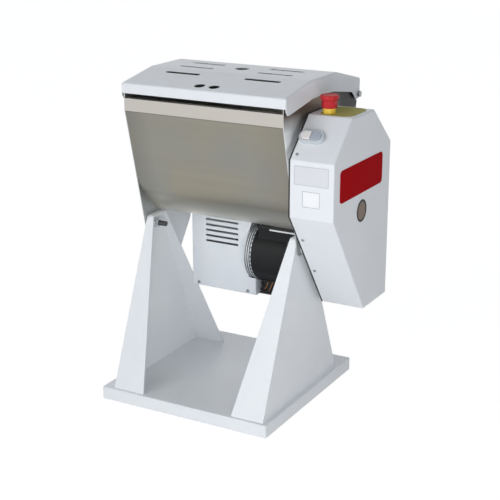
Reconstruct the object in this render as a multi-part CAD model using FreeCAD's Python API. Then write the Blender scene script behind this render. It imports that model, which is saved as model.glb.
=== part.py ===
"""A small tilting dough mixer: a stainless trough with its drive on a folded steel stand.

Millimetres. X runs along the mixing shaft towards the drive, Y runs from the front to the
back, Z is up. The origin is the centre of the footprint, on the floor.
"""
import FreeCAD, Part
import math
import os

from FreeCAD import Vector

# Base pan
base_width = 432.0
base_depth = 438.0
base_top_z = 32.0
base_lift = 3.0
base_sheet = 2.5
base_corner_r = 5.0
base_edge_r = 2.5
foot_r = 17.0
foot_inset = 42.0

# Stands
stand_centre_x = 9.0
stand_half_span = 195.5
stand_sheet = 3.0
stand_foot_front_y = -211.0
stand_foot_rear_y = 155.0
stand_top_half = 27.0
stand_top_rise = 23.0
stand_foot_flange = 80.0
stand_top_flange = 17.0
stand_bend_r = 8.0

# Tilt pivot
pivot_ahead = 82.0
pivot_drop = 166.5
pivot_bolt_r = 6.0
pivot_bush_wall = 3.0
pivot_tail = 20.0
washer_r = 12.0
washer_thick = 2.5
nut_flats = 19.0
nut_height = 10.0
bolt_head_height = 7.5
running_gap = 0.05
free_gap = 0.3
web_gap = 1.0

# Tilt stops
stop_pin_r = 5.0
stop_sleeve_r = 9.0
stop_drop = 100.0

# Trough
trough_y = 52.0
trough_z = 552.5
trough_r = 150.5
trough_sheet = 2.0
rim_half_depth = 183.0
rim_rise = 143.5
rim_band_height = 28.0
rim_rear_rise = 8.0
rim_lip = 15.0
tip_drop = 17.0
tip_rear_y = 2.0
tip_front_r = 14.0
tip_rear_r = 6.0
end_rear_corner_r = 12.0

# Lid
lid_sheet = 1.5
lid_rest_gap = 0.5
lid_overhang = 9.0
lid_front_gap = 2.0
lid_front_rise = 34.0
lid_front_flange = 22.5
lid_bend_1_ahead = 65.5
lid_bend_2_behind = 58.5
lid_top_rise = 55.0
lid_rear_gap = 4.0
lid_rear_rise = 24.0
lid_rear_flange = 28.0
lid_ear_r = 12.0
lid_bend_r = 5.5
lid_soft_r = 60.0
lid_edge_r = 4.0
lid_slot_length = 88.0
lid_slot_width = 13.0
lid_slot_offset_x = 100.5
lid_slot_reaches = (-93.0, -34.0, 21.0)
lid_water_hole_r = 16.0
lid_water_hole_reach = -4.0
lid_finger_hole_r = 12.0
lid_finger_spacing = 36.0
lid_finger_hole_inset = 27.5
lid_side_arch = [(144.0, -4.0), (50.0, 12.0), (-1.0, 15.0), (-60.0, 12.0), (-166.0, -4.5), (-176.0, -4.5)]
lid_side_radii = [14.0, 40.0, 60.0, 60.0, 10.0, 5.0]
lid_pin_inset = 9.0
lid_pin_drop = 12.0
lid_pin_r = 3.0
lid_pin_head_r = 7.0
lid_pin_head = 5.0

# Carrier and drive plates
carrier_thick = 5.0
carrier_step_reach = 16.0
carrier_shape = [(20.0, 224.0), (144.0, 224.0), (180.0, 114.0), (167.0, -28.0), (117.0, -99.0),
                 (92.0, -128.0), (carrier_step_reach, -128.0), (carrier_step_reach, -48.0),
                 (-22.0, -14.0), (-28.0, 14.0), (-10.0, 54.0)]
carrier_radii = [10, 10, 10, 4, 4, 10, 6, 6, 12, 10, 10]
backing_thick = 5.0
backing_inset = 10.0
backing_low_inset = 30.0
backing_step_drop = 56.0
backing_corner_r = 4.0
backing_lug_r = 16.0

# Drive cover
cover_gap = 1.5
cover_depth = 101.5
cover_sheet = 2.0
cover_front_reach = 168.0
cover_front_run = 85.5
cover_top_run = 115.5
cover_rear_reach = 131.0
cover_bottom_run = 127.5
cover_top_rise = 129.5
cover_front_slope = 82.5
cover_rear_slope = 86.5
cover_front_height = 123.5
cover_height = 451.0
cover_bend_r = 6.0
cover_side_r = 4.0
tray_flange = 20.0
tray_sheet = 2.0
cover_screw_inset = 10.5
cover_screw_r = 3.5
cover_screw_head = 2.2

# Drive train
shaft_r = 15.0
shaft_left_tail = 8.0
shaft_right_tail = 8.0
gear_module = 3.0
gear_teeth = 63
pinion_teeth = 18
gear_width = 24.0
gear_rim = 12.0
gear_recess = 6.0
gear_nut_flats = 46.0
gear_nut_height = 10.0
pinion_width = 30.0
gear_gap_x = 8.0
gear_backlash = 0.35
mesh_slack = 0.25
pressure_angle = math.radians(20)
countershaft_r = 10.0
countershaft_lean = math.radians(5.0)
large_pulley_r = 80.0
small_pulley_r = 31.0
pulley_width = 17.0
belt_width = 10.0
belt_height = 8.0
belt_side_gap = 0.5
pulley_gap_x = 6.0
pulley_holes = 5
pulley_hole_r = 13.0
pulley_hole_ring_r = 40.0
bearing_hub_r = 30.0
bearing_flange_r = 46.0
bearing_flange_thick = 8.0
bearing_length = 18.0
counter_hub_r = 20.0
counter_flange_r = 30.0
counter_ring_r = 17.0
seal_wall = 7.0
bridge_height = 46.0
bridge_thick = 6.0
bridge_reach = 95.0
bridge_end = 12.0
post_r = 8.0

# Mixing arm
arm_r = 126.0
arm_bar_r = 9.0
arm_spoke_r = 9.5
arm_hub_r = 26.0
arm_hub_length = 24.0
arm_end_gap = 12.0

# Motor
motor_behind = 48.0
motor_r = 69.0
motor_length = 112.5
motor_inset = 55.5
motor_front_bell_length = 34.0
motor_rear_bell_length = 34.0
motor_bell_taper_r = 52.0
motor_shaft_r = 9.5
motor_hole_gap = 8.0
rotor_r = 40.0
motor_plate_gap = 4.0
trough_plate_gap = 10.0
motor_plate_thick = 4.0
motor_foot_width = 90.0
motor_foot_in = 22.0
motor_foot_out = 52.0
motor_plate_step = 48.5
motor_plate_neck_half = 28.0
bell_rings = 4
bell_ring_width = 2.5
bell_ring_pitch = 5.5
bell_groove = 2.5
bell_nose_r = 40.0
fan_r = 42.0
fan_width = 18.0
fan_hub_r = 22.0
fan_blades = 8
fan_blade = 3.0
fan_gap = 10.0

# Fan box
box_length = 175.5
box_lap = 1.5
box_front_reach = 45.0
box_rear_reach = 46.0
box_drop = 100.0
box_top_gap = 2.0
cutout_gap = 1.0
cutout_below = 58.0
cutout_above = 50.0
cutout_corner = 7.0
cutout_lean = 0.36
cutout_radii = [0.0, 4.0, 4.0, 20.0, 0.0, 0.0]
box_sheet = 1.5
louvre_count = 5
louvre_inset = 39.5
louvre_length = 88.0
louvre_top_drop = 15.0
louvre_pitch = 13.2
louvre_height = 5.0
tray_strip_length = 110.0
tray_strip_half = 26.0
tray_strip_thick = 2.0
capacitor_r = 21.0
capacitor_length = 78.0

# Controls
estop_inset = 34.8
estop_behind = 26.5
estop_base_r = 14.2
estop_base_height = 15.5
contact_block_height = 26.0
contact_block_half = 15.0
estop_stem_r = 4.0
estop_head_r = 20.2
estop_neck_r = 16.2
estop_skirt_z = 12.0
estop_crown = 9.0
estop_head_top = 40.0
estop_travel = 4.0
legend_inset = 15.0
legend_far_inset = 8.5
legend_front_inset = 6.5
legend_rear_inset = 8.0
legend_corner_r = 24.0
legend_thick = 0.8
switch_inset = 30.0
switch_share = 0.5
switch_length = 58.0
switch_width = 32.0
switch_height = 10.0
switch_rim = 6.0
switch_pocket = 6.0
button_depth = 2.5
button_travel = 3.0
badge_front_inset = 30.0
badge_rear_inset = 48.0
badge_drop = 102.0
badge_height = 71.0
badge_thick = 1.0
badge_corner_r = 10.0
disc_ahead = 23.0
disc_drop = 41.0
disc_r = 25.0
label_thick = 0.4
label_corner_r = 2.0
upper_label = (9.0, -51.5, 90.0, -9.5)
lower_label = (28.5, -98.5, 70.5, -62.5)
gland_r = 11.0
gland_rise = 39.0
gland_nut = 6.0
gland_nose = 12.0

# Positions that follow from the sizes
left_web_x = stand_centre_x - stand_half_span
right_web_x = stand_centre_x + stand_half_span
pivot_y = trough_y - pivot_ahead
pivot_z = trough_z - pivot_drop
stand_top_front_y = pivot_y - stand_top_half
stand_top_rear_y = pivot_y + stand_top_half
stand_top_z = pivot_z + stand_top_rise
stop_z = pivot_z - stop_drop
rim_front_y = trough_y - rim_half_depth
rim_rear_y = trough_y + rim_half_depth
rim_top_z = trough_z + rim_rise
rim_band_z = rim_top_z - rim_band_height
rim_rear_top_z = rim_top_z + rim_rear_rise
tip_bottom_z = pivot_z - tip_drop
lid_half_width = stand_half_span + lid_overhang
lid_front_y = rim_front_y - lid_front_gap
lid_bend_1_y = trough_y - lid_bend_1_ahead
lid_bend_2_y = trough_y + lid_bend_2_behind
lid_rear_y = rim_rear_y + lid_rear_gap
lid_slot_ys = [trough_y + reach for reach in lid_slot_reaches]
lid_water_hole_y = trough_y + lid_water_hole_reach
lid_finger_hole_y = lid_front_y + lid_finger_hole_inset
lid_front_top_z = rim_top_z + lid_front_rise
lid_front_bottom_z = lid_front_top_z - lid_front_flange
lid_top_z = rim_top_z + lid_top_rise
lid_rear_top_z = rim_top_z + lid_rear_rise
lid_rear_bottom_z = lid_rear_top_z - lid_rear_flange
lid_side_edge = [(trough_y + reach, rim_top_z + rise) for reach, rise in lid_side_arch]
lid_pin_y = lid_rear_y - lid_pin_inset
lid_pin_z = rim_top_z - lid_pin_drop
carrier_outline = [(pivot_y + reach, pivot_z + rise) for reach, rise in carrier_shape]
backing_step_z = pivot_z - backing_step_drop
left_plate_in = left_web_x - web_gap
right_plate_in = right_web_x + web_gap
left_plate_out = left_plate_in - trough_sheet
right_plate_out = right_plate_in + trough_sheet
left_carrier_out = left_plate_out - carrier_thick
backing_out = right_plate_out + backing_thick
right_carrier_out = backing_out + tray_sheet
cover_near_x = right_carrier_out + cover_gap
cover_far_x = cover_near_x + cover_depth
cover_mid_x = (cover_near_x + cover_far_x) / 2
cover_screw_x = cover_near_x + cover_screw_inset
cover_front_y = trough_y - cover_front_reach
cover_top_front_y = cover_front_y + cover_front_run
cover_top_rear_y = cover_top_front_y + cover_top_run
cover_rear_y = trough_y + cover_rear_reach
cover_bottom_front_y = cover_rear_y - cover_bottom_run
cover_top_z = trough_z + cover_top_rise
cover_front_top_z = cover_top_z - cover_front_slope
cover_rear_top_z = cover_top_z - cover_rear_slope
cover_front_bottom_z = cover_front_top_z - cover_front_height
cover_bottom_z = cover_top_z - cover_height
motor_right_x = right_plate_out - motor_inset
motor_left_x = motor_right_x - motor_length
motor_plate_z = trough_z - trough_r - trough_plate_gap - motor_plate_thick
motor_z = motor_plate_z - motor_plate_gap - motor_r
motor_plate_step_x = motor_left_x + motor_plate_step
box_right_x = motor_left_x + box_lap
box_left_x = box_right_x - box_length
motor_y = trough_y + motor_behind
box_front_y = motor_y - box_front_reach
box_rear_y = motor_y + box_rear_reach
box_bottom_z = motor_z - box_drop
box_top_z = trough_z - trough_r - box_top_gap
louvre_left_x = box_left_x + louvre_inset
louvre_right_x = louvre_left_x + louvre_length
louvre_top_z = box_top_z - louvre_top_drop
estop_x = cover_near_x + estop_inset
legend_left_x = cover_near_x + legend_inset
legend_right_x = cover_far_x - legend_far_inset
estop_y = cover_top_front_y + estop_behind
legend_front_y = cover_top_front_y + legend_front_inset
legend_rear_y = cover_top_rear_y - legend_rear_inset
switch_x = cover_near_x + switch_inset
badge_front_y = cover_front_y + badge_front_inset
badge_rear_y = cover_rear_y - badge_rear_inset
disc_y = trough_y - disc_ahead
badge_top_z = cover_top_z - badge_drop
badge_bottom_z = badge_top_z - badge_height
disc_z = badge_bottom_z - disc_drop
gland_z = cover_bottom_z + gland_rise
gear_x = right_carrier_out + bearing_length + gear_gap_x
pulley_x = gear_x + pinion_width + pulley_gap_x
gear_pitch_r = gear_module * gear_teeth / 2
pinion_pitch_r = gear_module * pinion_teeth / 2
shaft_spacing = gear_pitch_r + pinion_pitch_r + mesh_slack
counter_y = trough_y - shaft_spacing * math.sin(countershaft_lean)
counter_z = trough_z - shaft_spacing * math.cos(countershaft_lean)
belt_large_r = large_pulley_r - belt_height
belt_small_r = small_pulley_r - belt_height
bush_r = pivot_bolt_r + pivot_bush_wall
switch_lean = math.atan2(cover_top_z - cover_front_top_z, cover_top_front_y - cover_front_y)


def arc_corner(before, corner, after, radius):
    """Gives the two tangent points and the middle point of a rounded corner."""
    a = (before - corner).normalize()
    b = (after - corner).normalize()
    half = a.getAngle(b) / 2
    reach = radius / math.tan(half)
    middle = (a + b).normalize() * (radius / math.sin(half) - radius)
    return corner + a * reach, corner + middle, corner + b * reach


def outline(points, radii):
    """A closed wire through the points, each corner rounded by its radius."""
    count = len(points)
    if not isinstance(radii, (list, tuple)):
        radii = [radii] * count
    edges = []
    starts = []
    for i in range(count):
        if radii[i] > 0.01:
            starts.append(arc_corner(points[i - 1], points[i], points[(i + 1) % count], radii[i]))
        else:
            starts.append((points[i], None, points[i]))
    for i in range(count):
        first, middle, last = starts[i]
        if middle is not None:
            edges.append(Part.Arc(first, middle, last).toShape())
        following = starts[(i + 1) % count][0]
        if last.distanceToPoint(following) > 1e-6:
            edges.append(Part.makeLine(last, following))
    return Part.Wire(edges)


def plate_x(yz, radii, x0, x1):
    """A solid with the outline yz, from x0 to x1."""
    wire = outline([Vector(x0, y, z) for y, z in yz], radii)
    return Part.Face(wire).extrude(Vector(x1 - x0, 0, 0))


def plate_y(xz, radii, y0, y1):
    """A solid with the outline xz, from y0 to y1."""
    wire = outline([Vector(x, y0, z) for x, z in xz], radii)
    return Part.Face(wire).extrude(Vector(0, y1 - y0, 0))


def plate_z(xy, radii, z0, z1):
    """A solid with the outline xy, from z0 to z1."""
    wire = outline([Vector(x, y, z0) for x, y in xy], radii)
    return Part.Face(wire).extrude(Vector(0, 0, z1 - z0))


def rectangle(a0, b0, a1, b1):
    return [(a0, b0), (a1, b0), (a1, b1), (a0, b1)]


def block(x0, y0, z0, x1, y1, z1):
    return Part.makeBox(x1 - x0, y1 - y0, z1 - z0, Vector(x0, y0, z0))


def rod_x(radius, x0, x1, y, z):
    return Part.makeCylinder(radius, x1 - x0, Vector(x0, y, z), Vector(1, 0, 0))


def rod_y(radius, y0, y1, x, z):
    return Part.makeCylinder(radius, y1 - y0, Vector(x, y0, z), Vector(0, 1, 0))


def rod_z(radius, z0, z1, x, y):
    return Part.makeCylinder(radius, z1 - z0, Vector(x, y, z0), Vector(0, 0, 1))


def ring_x(outer, inner, x0, x1, y, z):
    return rod_x(outer, x0, x1, y, z).cut(rod_x(inner, x0 - 1, x1 + 1, y, z))


def hex_x(flats, x0, x1, y, z):
    """A hexagonal prism along X."""
    reach = flats / math.sqrt(3)
    corners = [(y + reach * math.cos(math.radians(60 * i)), z + reach * math.sin(math.radians(60 * i)))
               for i in range(6)]
    return plate_x(corners, 0, x0, x1)


def inset(points, depth):
    """Moves each side of a closed outline inwards by depth."""
    count = len(points)
    area = sum(points[i - 1][0] * points[i][1] - points[i][0] * points[i - 1][1] for i in range(count))
    turn = 1 if area > 0 else -1
    lines = []
    for i in range(count):
        a = points[i]
        b = points[(i + 1) % count]
        length = math.hypot(b[0] - a[0], b[1] - a[1])
        normal = (-(b[1] - a[1]) / length * turn, (b[0] - a[0]) / length * turn)
        lines.append((normal, normal[0] * a[0] + normal[1] * a[1] + depth))
    moved = []
    for i in range(count):
        (n1, d1), (n2, d2) = lines[i - 1], lines[i]
        det = n1[0] * n2[1] - n1[1] * n2[0]
        moved.append(((d1 * n2[1] - d2 * n1[1]) / det, (n1[0] * d2 - n2[0] * d1) / det))
    return moved


def soften(shape, radius, chosen):
    """Rounds the edges that the function chosen picks."""
    edges = [e for e in shape.Edges if chosen(e)]
    return shape.makeFillet(radius, edges)


def at_x(edge, x):
    box = edge.BoundBox
    return abs(box.XMin - x) < 0.01 and abs(box.XMax - x) < 0.01


# Stand

def base_pan():
    w = base_width / 2
    d = base_depth / 2
    outer = plate_z(rectangle(-w, -d, w, d), base_corner_r, base_lift, base_top_z)
    outer = soften(outer, base_edge_r, lambda e: abs(e.BoundBox.ZMin - base_top_z) < 0.01)
    t = base_sheet
    inner = plate_z(rectangle(t - w, t - d, w - t, d - t), base_corner_r - t, base_lift - 1, base_top_z - t)
    return outer.cut(inner)


def base_feet():
    x = base_width / 2 - foot_inset
    y = base_depth / 2 - foot_inset
    return [rod_z(foot_r, 0, base_top_z - base_sheet, sx * x, sy * y) for sx in (-1, 1) for sy in (-1, 1)]


def stand_outline():
    return [(stand_foot_front_y, base_top_z), (stand_top_front_y, stand_top_z),
            (stand_top_rear_y, stand_top_z), (stand_foot_rear_y, base_top_z)]


def stand(side):
    """A folded triangular channel, its web outside and its flanges pointing inwards."""
    web = stand_centre_x + side * stand_half_span
    foot_x = web - side * stand_foot_flange
    top_x = web - side * stand_top_flange
    x0, x1 = sorted((web, foot_x))
    outer = plate_x(stand_outline(), [0, stand_bend_r, stand_bend_r, 0], x0, x1)
    t = stand_sheet
    inner_points = inset(stand_outline(), t)
    slope = (inner_points[1][1] - inner_points[0][1]) / (inner_points[1][0] - inner_points[0][0])
    rear_slope = (inner_points[2][1] - inner_points[3][1]) / (inner_points[2][0] - inner_points[3][0])
    low = base_top_z - t
    inner_points[0] = (inner_points[0][0] + (low - inner_points[0][1]) / slope, low)
    inner_points[3] = (inner_points[3][0] + (low - inner_points[3][1]) / rear_slope, low)
    hollow_x0, hollow_x1 = sorted((web - side * t, foot_x - side))
    inner = plate_x(inner_points, [0, stand_bend_r - t, stand_bend_r - t, 0], hollow_x0, hollow_x1)
    taper = plate_y([(web, base_top_z), (foot_x, base_top_z), (top_x, stand_top_z), (web, stand_top_z)], 0,
                    stand_foot_front_y - 1, stand_foot_rear_y + 1)
    hole = rod_x(pivot_bolt_r + running_gap, web - 20, web + 20, pivot_y, pivot_z)
    return outer.cut(inner).common(taper).cut(hole)


def pivot_bolts():
    """Headed bolts from outside, their threaded ends inside the stands."""
    bolts = []
    for side, face in ((-1, left_carrier_out), (1, right_carrier_out)):
        web_in = stand_centre_x + side * (stand_half_span - stand_sheet)
        end = web_in - side * (washer_thick + nut_height + pivot_tail)
        head0 = face + side * free_gap
        head1 = head0 + side * bolt_head_height
        shank = rod_x(pivot_bolt_r, min(end, head1), max(end, head1), pivot_y, pivot_z)
        head = hex_x(nut_flats, min(head0, head1), max(head0, head1), pivot_y, pivot_z)
        bolts.append(shank.fuse(head).removeSplitter())
    return bolts


def pivot_washers():
    washers = []
    for side in (-1, 1):
        web_in = stand_centre_x + side * (stand_half_span - stand_sheet)
        x0, x1 = sorted((web_in, web_in - side * washer_thick))
        washers.append(ring_x(washer_r, pivot_bolt_r + running_gap, x0, x1, pivot_y, pivot_z))
    return washers


def pivot_nuts():
    nuts = []
    for side in (-1, 1):
        seat = stand_centre_x + side * (stand_half_span - stand_sheet - washer_thick)
        x0, x1 = sorted((seat, seat - side * nut_height))
        body = hex_x(nut_flats, x0, x1, pivot_y, pivot_z)
        nuts.append(body.cut(rod_x(pivot_bolt_r + running_gap, x0 - 1, x1 + 1, pivot_y, pivot_z)))
    return nuts


def tray_outline():
    return inset(cover_outline(), cover_sheet + free_gap)


def slope_point(depth, z):
    """The point at a height on the tray's lower front edge, moved inwards by depth."""
    (y0, z0), (y1, z1) = inset(tray_outline(), depth)[3:5]
    return y0 + (z - z0) * (y1 - y0) / (z1 - z0), z


def backing_outline():
    """The lower front edge steps back, which leaves room for the stop behind the cover."""
    points = inset(tray_outline(), backing_inset)
    step = [slope_point(backing_inset, backing_step_z),
            slope_point(backing_low_inset, backing_step_z - backing_low_inset / 2),
            slope_point(backing_low_inset, points[4][1])]
    return points[:4] + step + points[5:]


def stop_place(side):
    """Y of a stop's axis, just in front of the edge that rests on it."""
    if side < 0:
        return pivot_y + carrier_step_reach - stop_sleeve_r - free_gap
    lean = math.atan2(cover_front_bottom_z - cover_bottom_z, cover_bottom_front_y - cover_front_y)
    edge_y = slope_point(backing_low_inset, stop_z)[0]
    return edge_y - (stop_sleeve_r + free_gap) / math.sin(lean)


def stop_ends():
    """Each side with the X where its stop ends. The right one stays clear of the tray."""
    return (-1, left_carrier_out), (1, backing_out - free_gap)


def stop_pins():
    pins = []
    for side, end in stop_ends():
        web = stand_centre_x + side * stand_half_span
        x0, x1 = sorted((web, end))
        pins.append(rod_x(stop_pin_r, x0, x1, stop_place(side), stop_z))
    return pins


def stop_sleeves():
    sleeves = []
    for side, end in stop_ends():
        web = stand_centre_x + side * stand_half_span
        x0, x1 = sorted((web, end))
        sleeves.append(ring_x(stop_sleeve_r, stop_pin_r + running_gap, x0, x1, stop_place(side), stop_z))
    return sleeves


# Trough

def trough_outline(depth, front_y, rear_y, band_z, top_z):
    """The U section, its walls tangent to the round bottom, moved inwards by depth."""
    run = trough_y - rim_front_y
    rise = rim_band_z - trough_z
    reach = math.hypot(run, rise)
    toward = math.atan2(rise, -run)
    spread = math.acos(trough_r / reach)
    angle = toward + spread
    r = trough_r - depth
    normal = (math.cos(angle), math.sin(angle))
    band = trough_z + (r - normal[0] * (front_y - trough_y)) / normal[1]
    rear_band = trough_z + (r + normal[0] * (rear_y - trough_y)) / normal[1]
    tangent_front = Vector(0, trough_y + r * normal[0], trough_z + r * normal[1])
    tangent_rear = Vector(0, trough_y - r * normal[0], trough_z + r * normal[1])
    bottom = Vector(0, trough_y, trough_z - r)
    front_top = Vector(0, front_y, top_z)
    front_low = Vector(0, front_y, band)
    rear_low = Vector(0, rear_y, rear_band)
    return front_top, front_low, tangent_front, bottom, tangent_rear, rear_low


def trough_body(depth, x0, x1, front_top_z, rear_top_z):
    corners = trough_outline(depth, rim_front_y + depth, rim_rear_y - depth, rim_band_z, front_top_z)
    front_top, front_low, tangent_front, bottom, tangent_rear, rear_low = corners
    rear_top = Vector(0, rear_low.y, rear_top_z)
    edges = [Part.makeLine(front_top, front_low), Part.makeLine(front_low, tangent_front),
             Part.Arc(tangent_front, bottom, tangent_rear).toShape(),
             Part.makeLine(tangent_rear, rear_low)]
    if rear_low.z < rear_top_z - 0.01:
        edges.append(Part.makeLine(rear_low, rear_top))
        edges.append(Part.makeLine(rear_top, front_top))
    else:
        edges.append(Part.makeLine(rear_low, front_top))
    face = Part.Face(Part.Wire(edges))
    return face.extrude(Vector(x1 - x0, 0, 0)).translate(Vector(x0, 0, 0))


def trough_shell():
    t = trough_sheet
    outer = trough_body(0, left_plate_in, right_plate_in, rim_top_z, rim_rear_top_z)
    inner = trough_body(t, left_plate_in - 1, right_plate_in + 1, rim_top_z + 1, rim_rear_top_z + 1)
    above = block(left_plate_in - 1, rim_front_y + t, rim_top_z - t, right_plate_in + 1, rim_rear_y - t,
                  rim_rear_top_z + 1)
    lip = block(left_plate_in, rim_front_y, rim_top_z - t, right_plate_in, rim_front_y + rim_lip, rim_top_z)
    return outer.cut(inner).cut(above).fuse(lip).removeSplitter()


def lid_top_outline():
    return [(lid_front_y, lid_front_bottom_z), (lid_front_y, lid_front_top_z), (lid_bend_1_y, lid_top_z),
            (lid_bend_2_y, lid_top_z), (lid_rear_y, lid_rear_top_z), (lid_rear_y, lid_rear_bottom_z)]


def end_plate(x0):
    """Follows the trough below, the pivot tip at the front and the lid's inside above."""
    corners = trough_outline(0, rim_front_y, rim_rear_y, rim_band_z, rim_top_z)
    under = inset(lid_top_outline(), lid_sheet + lid_rest_gap)
    front_low, tangent_front, tangent_rear, rear_low = corners[1], corners[2], corners[4], corners[5]
    slope = (tangent_front.y - front_low.y) / (tangent_front.z - front_low.z)
    tip_front_y = front_low.y + slope * (tip_bottom_z - front_low.z)
    u_meet = trough_z - math.sqrt(trough_r ** 2 - (trough_y - tip_rear_y) ** 2)
    upper = [(front_low.y, front_low.z), (rim_front_y, rim_top_z), (under[0][0], rim_top_z),
             under[1], under[2], under[3], under[4], (under[4][0], rear_low.z), (rear_low.y, rear_low.z),
             (tangent_rear.y, tangent_rear.z), (tangent_front.y, tangent_front.z)]
    bend = lid_bend_r + 1.0
    radii = [0, 0, 0, bend, lid_soft_r, lid_soft_r, bend, end_rear_corner_r, 0, 0, 0]
    plate = plate_x(upper, radii, x0, x0 + trough_sheet)
    round_part = rod_x(trough_r, x0, x0 + trough_sheet, trough_y, trough_z)
    tip = plate_x([(tangent_front.y, tangent_front.z), (tip_front_y, tip_bottom_z),
                   (tip_rear_y, tip_bottom_z), (tip_rear_y, u_meet + 1), (trough_y, trough_z)],
                  [0, tip_front_r, tip_rear_r, 0, 0], x0, x0 + trough_sheet)
    plate = plate.fuse([round_part, tip]).removeSplitter()
    x1 = x0 + trough_sheet
    plate = plate.cut(rod_x(shaft_r + seal_wall, x0 - 1, x1 + 1, trough_y, trough_z))
    plate = plate.cut(rod_x(bush_r, x0 - 1, x1 + 1, pivot_y, pivot_z))
    return plate.cut(rod_x(lid_pin_r, x0 - 1, x1 + 1, lid_pin_y, lid_pin_z))


def left_carrier_plate():
    """A painted plate outside the left end plate: it holds the pivot bush and the bearing."""
    plate = plate_x(carrier_outline, carrier_radii, left_carrier_out, left_plate_out)
    x0 = left_carrier_out - 1
    x1 = left_plate_out + 1
    plate = plate.cut(rod_x(shaft_r + seal_wall, x0, x1, trough_y, trough_z))
    return plate.cut(rod_x(bush_r, x0, x1, pivot_y, pivot_z))


def cover_outline():
    return [(cover_top_rear_y, cover_top_z), (cover_top_front_y, cover_top_z),
            (cover_front_y, cover_front_top_z), (cover_front_y, cover_front_bottom_z),
            (cover_bottom_front_y, cover_bottom_z),
            (cover_rear_y, cover_bottom_z), (cover_rear_y, cover_rear_top_z)]


def drive_plate():
    """A sheet tray that fills the cover's open side, welded to a thicker backing plate."""
    bend = cover_bend_r - cover_sheet
    t = tray_sheet
    flange_x = right_carrier_out + tray_flange
    tray = plate_x(tray_outline(), bend, backing_out, flange_x)
    tray = tray.cut(plate_x(inset(tray_outline(), t), bend - t, right_carrier_out, flange_x + 1))
    backing = plate_x(backing_outline(), backing_corner_r, right_plate_out, backing_out)
    lug = rod_x(backing_lug_r, right_plate_out, backing_out, pivot_y, pivot_z)
    plate = tray.fuse([backing, lug]).removeSplitter()
    x0 = right_plate_out - 1
    x1 = right_carrier_out + 1
    plate = plate.cut(rod_x(shaft_r + seal_wall, x0, x1, trough_y, trough_z))
    plate = plate.cut(rod_x(bush_r, x0, x1, pivot_y, pivot_z))
    plate = plate.cut(rod_x(motor_shaft_r + motor_hole_gap, x0, x1, motor_y, motor_z))
    for y, z in post_places():
        plate = plate.cut(rod_x(post_r / 2, x0, x1, y, z))
    return plate


def pivot_bushes():
    gap = running_gap
    return [ring_x(bush_r - gap, pivot_bolt_r + gap, left_carrier_out, left_plate_in, pivot_y, pivot_z),
            ring_x(bush_r - gap, pivot_bolt_r + gap, right_plate_in, right_carrier_out, pivot_y, pivot_z)]


def shaft_seals():
    outer = shaft_r + seal_wall - running_gap
    inner = shaft_r + running_gap
    return [ring_x(outer, inner, left_carrier_out, left_plate_in, trough_y, trough_z),
            ring_x(outer, inner, right_plate_in, right_carrier_out, trough_y, trough_z)]


def flange_bearing(face_x, side, bore_r, hub_r, flange_r, y, z):
    """A round flange bearing that stands on a face and points away from it."""
    x1 = face_x + side * bearing_flange_thick
    x2 = face_x + side * bearing_length
    flange = rod_x(flange_r, min(face_x, x1), max(face_x, x1), y, z)
    hub = rod_x(hub_r, min(face_x, x2), max(face_x, x2), y, z)
    body = flange.fuse(hub).removeSplitter()
    return body.cut(rod_x(bore_r + running_gap, min(face_x, x2) - 1, max(face_x, x2) + 1, y, z))


def shaft_bearings():
    return [flange_bearing(face_x, side, shaft_r, bearing_hub_r, bearing_flange_r, trough_y, trough_z)
            for face_x, side in ((left_carrier_out, -1), (right_carrier_out, 1))]


def counter_bearings():
    inner = flange_bearing(right_carrier_out, 1, countershaft_r, counter_hub_r, counter_flange_r, counter_y,
                           counter_z)
    x0 = bridge_x()
    outer = ring_x(counter_ring_r, countershaft_r + running_gap, x0, x0 + bridge_thick, counter_y, counter_z)
    return [inner, outer]


def bridge_x():
    return pulley_x + pulley_width + pulley_gap_x / 2


def post_places():
    return [(counter_y - bridge_reach, counter_z), (counter_y + bridge_reach, counter_z)]


def bridge_posts():
    posts = []
    for y, z in post_places():
        post = rod_x(post_r, right_carrier_out, bridge_x(), y, z)
        tail = rod_x(post_r / 2 - running_gap, right_plate_out, bridge_x() + bridge_thick, y, z)
        posts.append(post.fuse(tail).removeSplitter())
    return posts


def bearing_bridge():
    x0 = bridge_x()
    x1 = x0 + bridge_thick
    half = bridge_height / 2
    long = bridge_reach + bridge_end
    corners = rectangle(counter_y - long, counter_z - half, counter_y + long, counter_z + half)
    bar = plate_x(corners, bridge_end, x0, x1)
    bar = bar.cut(rod_x(counter_ring_r + running_gap, x0 - 1, x1 + 1, counter_y, counter_z))
    for y, z in post_places():
        bar = bar.cut(rod_x(post_r / 2, x0 - 1, x1 + 1, y, z))
    return bar


# Drive cover

def cover_screw_places():
    """Heads on the cover's front faces, each with the face's outward direction."""
    x = cover_screw_x
    up = Vector(0, -math.sin(switch_lean), math.cos(switch_lean))
    down = lower_normal()
    return [(on_upper_slope(x, 0.87), up), (on_lower_slope(x, 0.25), down), (on_lower_slope(x, 0.61), down)]


def lower_normal():
    dy = cover_bottom_front_y - cover_front_y
    dz = cover_bottom_z - cover_front_bottom_z
    length = math.hypot(dy, dz)
    return Vector(0, dz / length, -dy / length)


def on_upper_slope(x, share):
    y = cover_top_front_y + (cover_front_y - cover_top_front_y) * share
    z = cover_top_z + (cover_front_top_z - cover_top_z) * share
    return Vector(x, y, z)


def on_lower_slope(x, share):
    y = cover_front_y + (cover_bottom_front_y - cover_front_y) * share
    z = cover_front_bottom_z + (cover_bottom_z - cover_front_bottom_z) * share
    return Vector(x, y, z)


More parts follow.
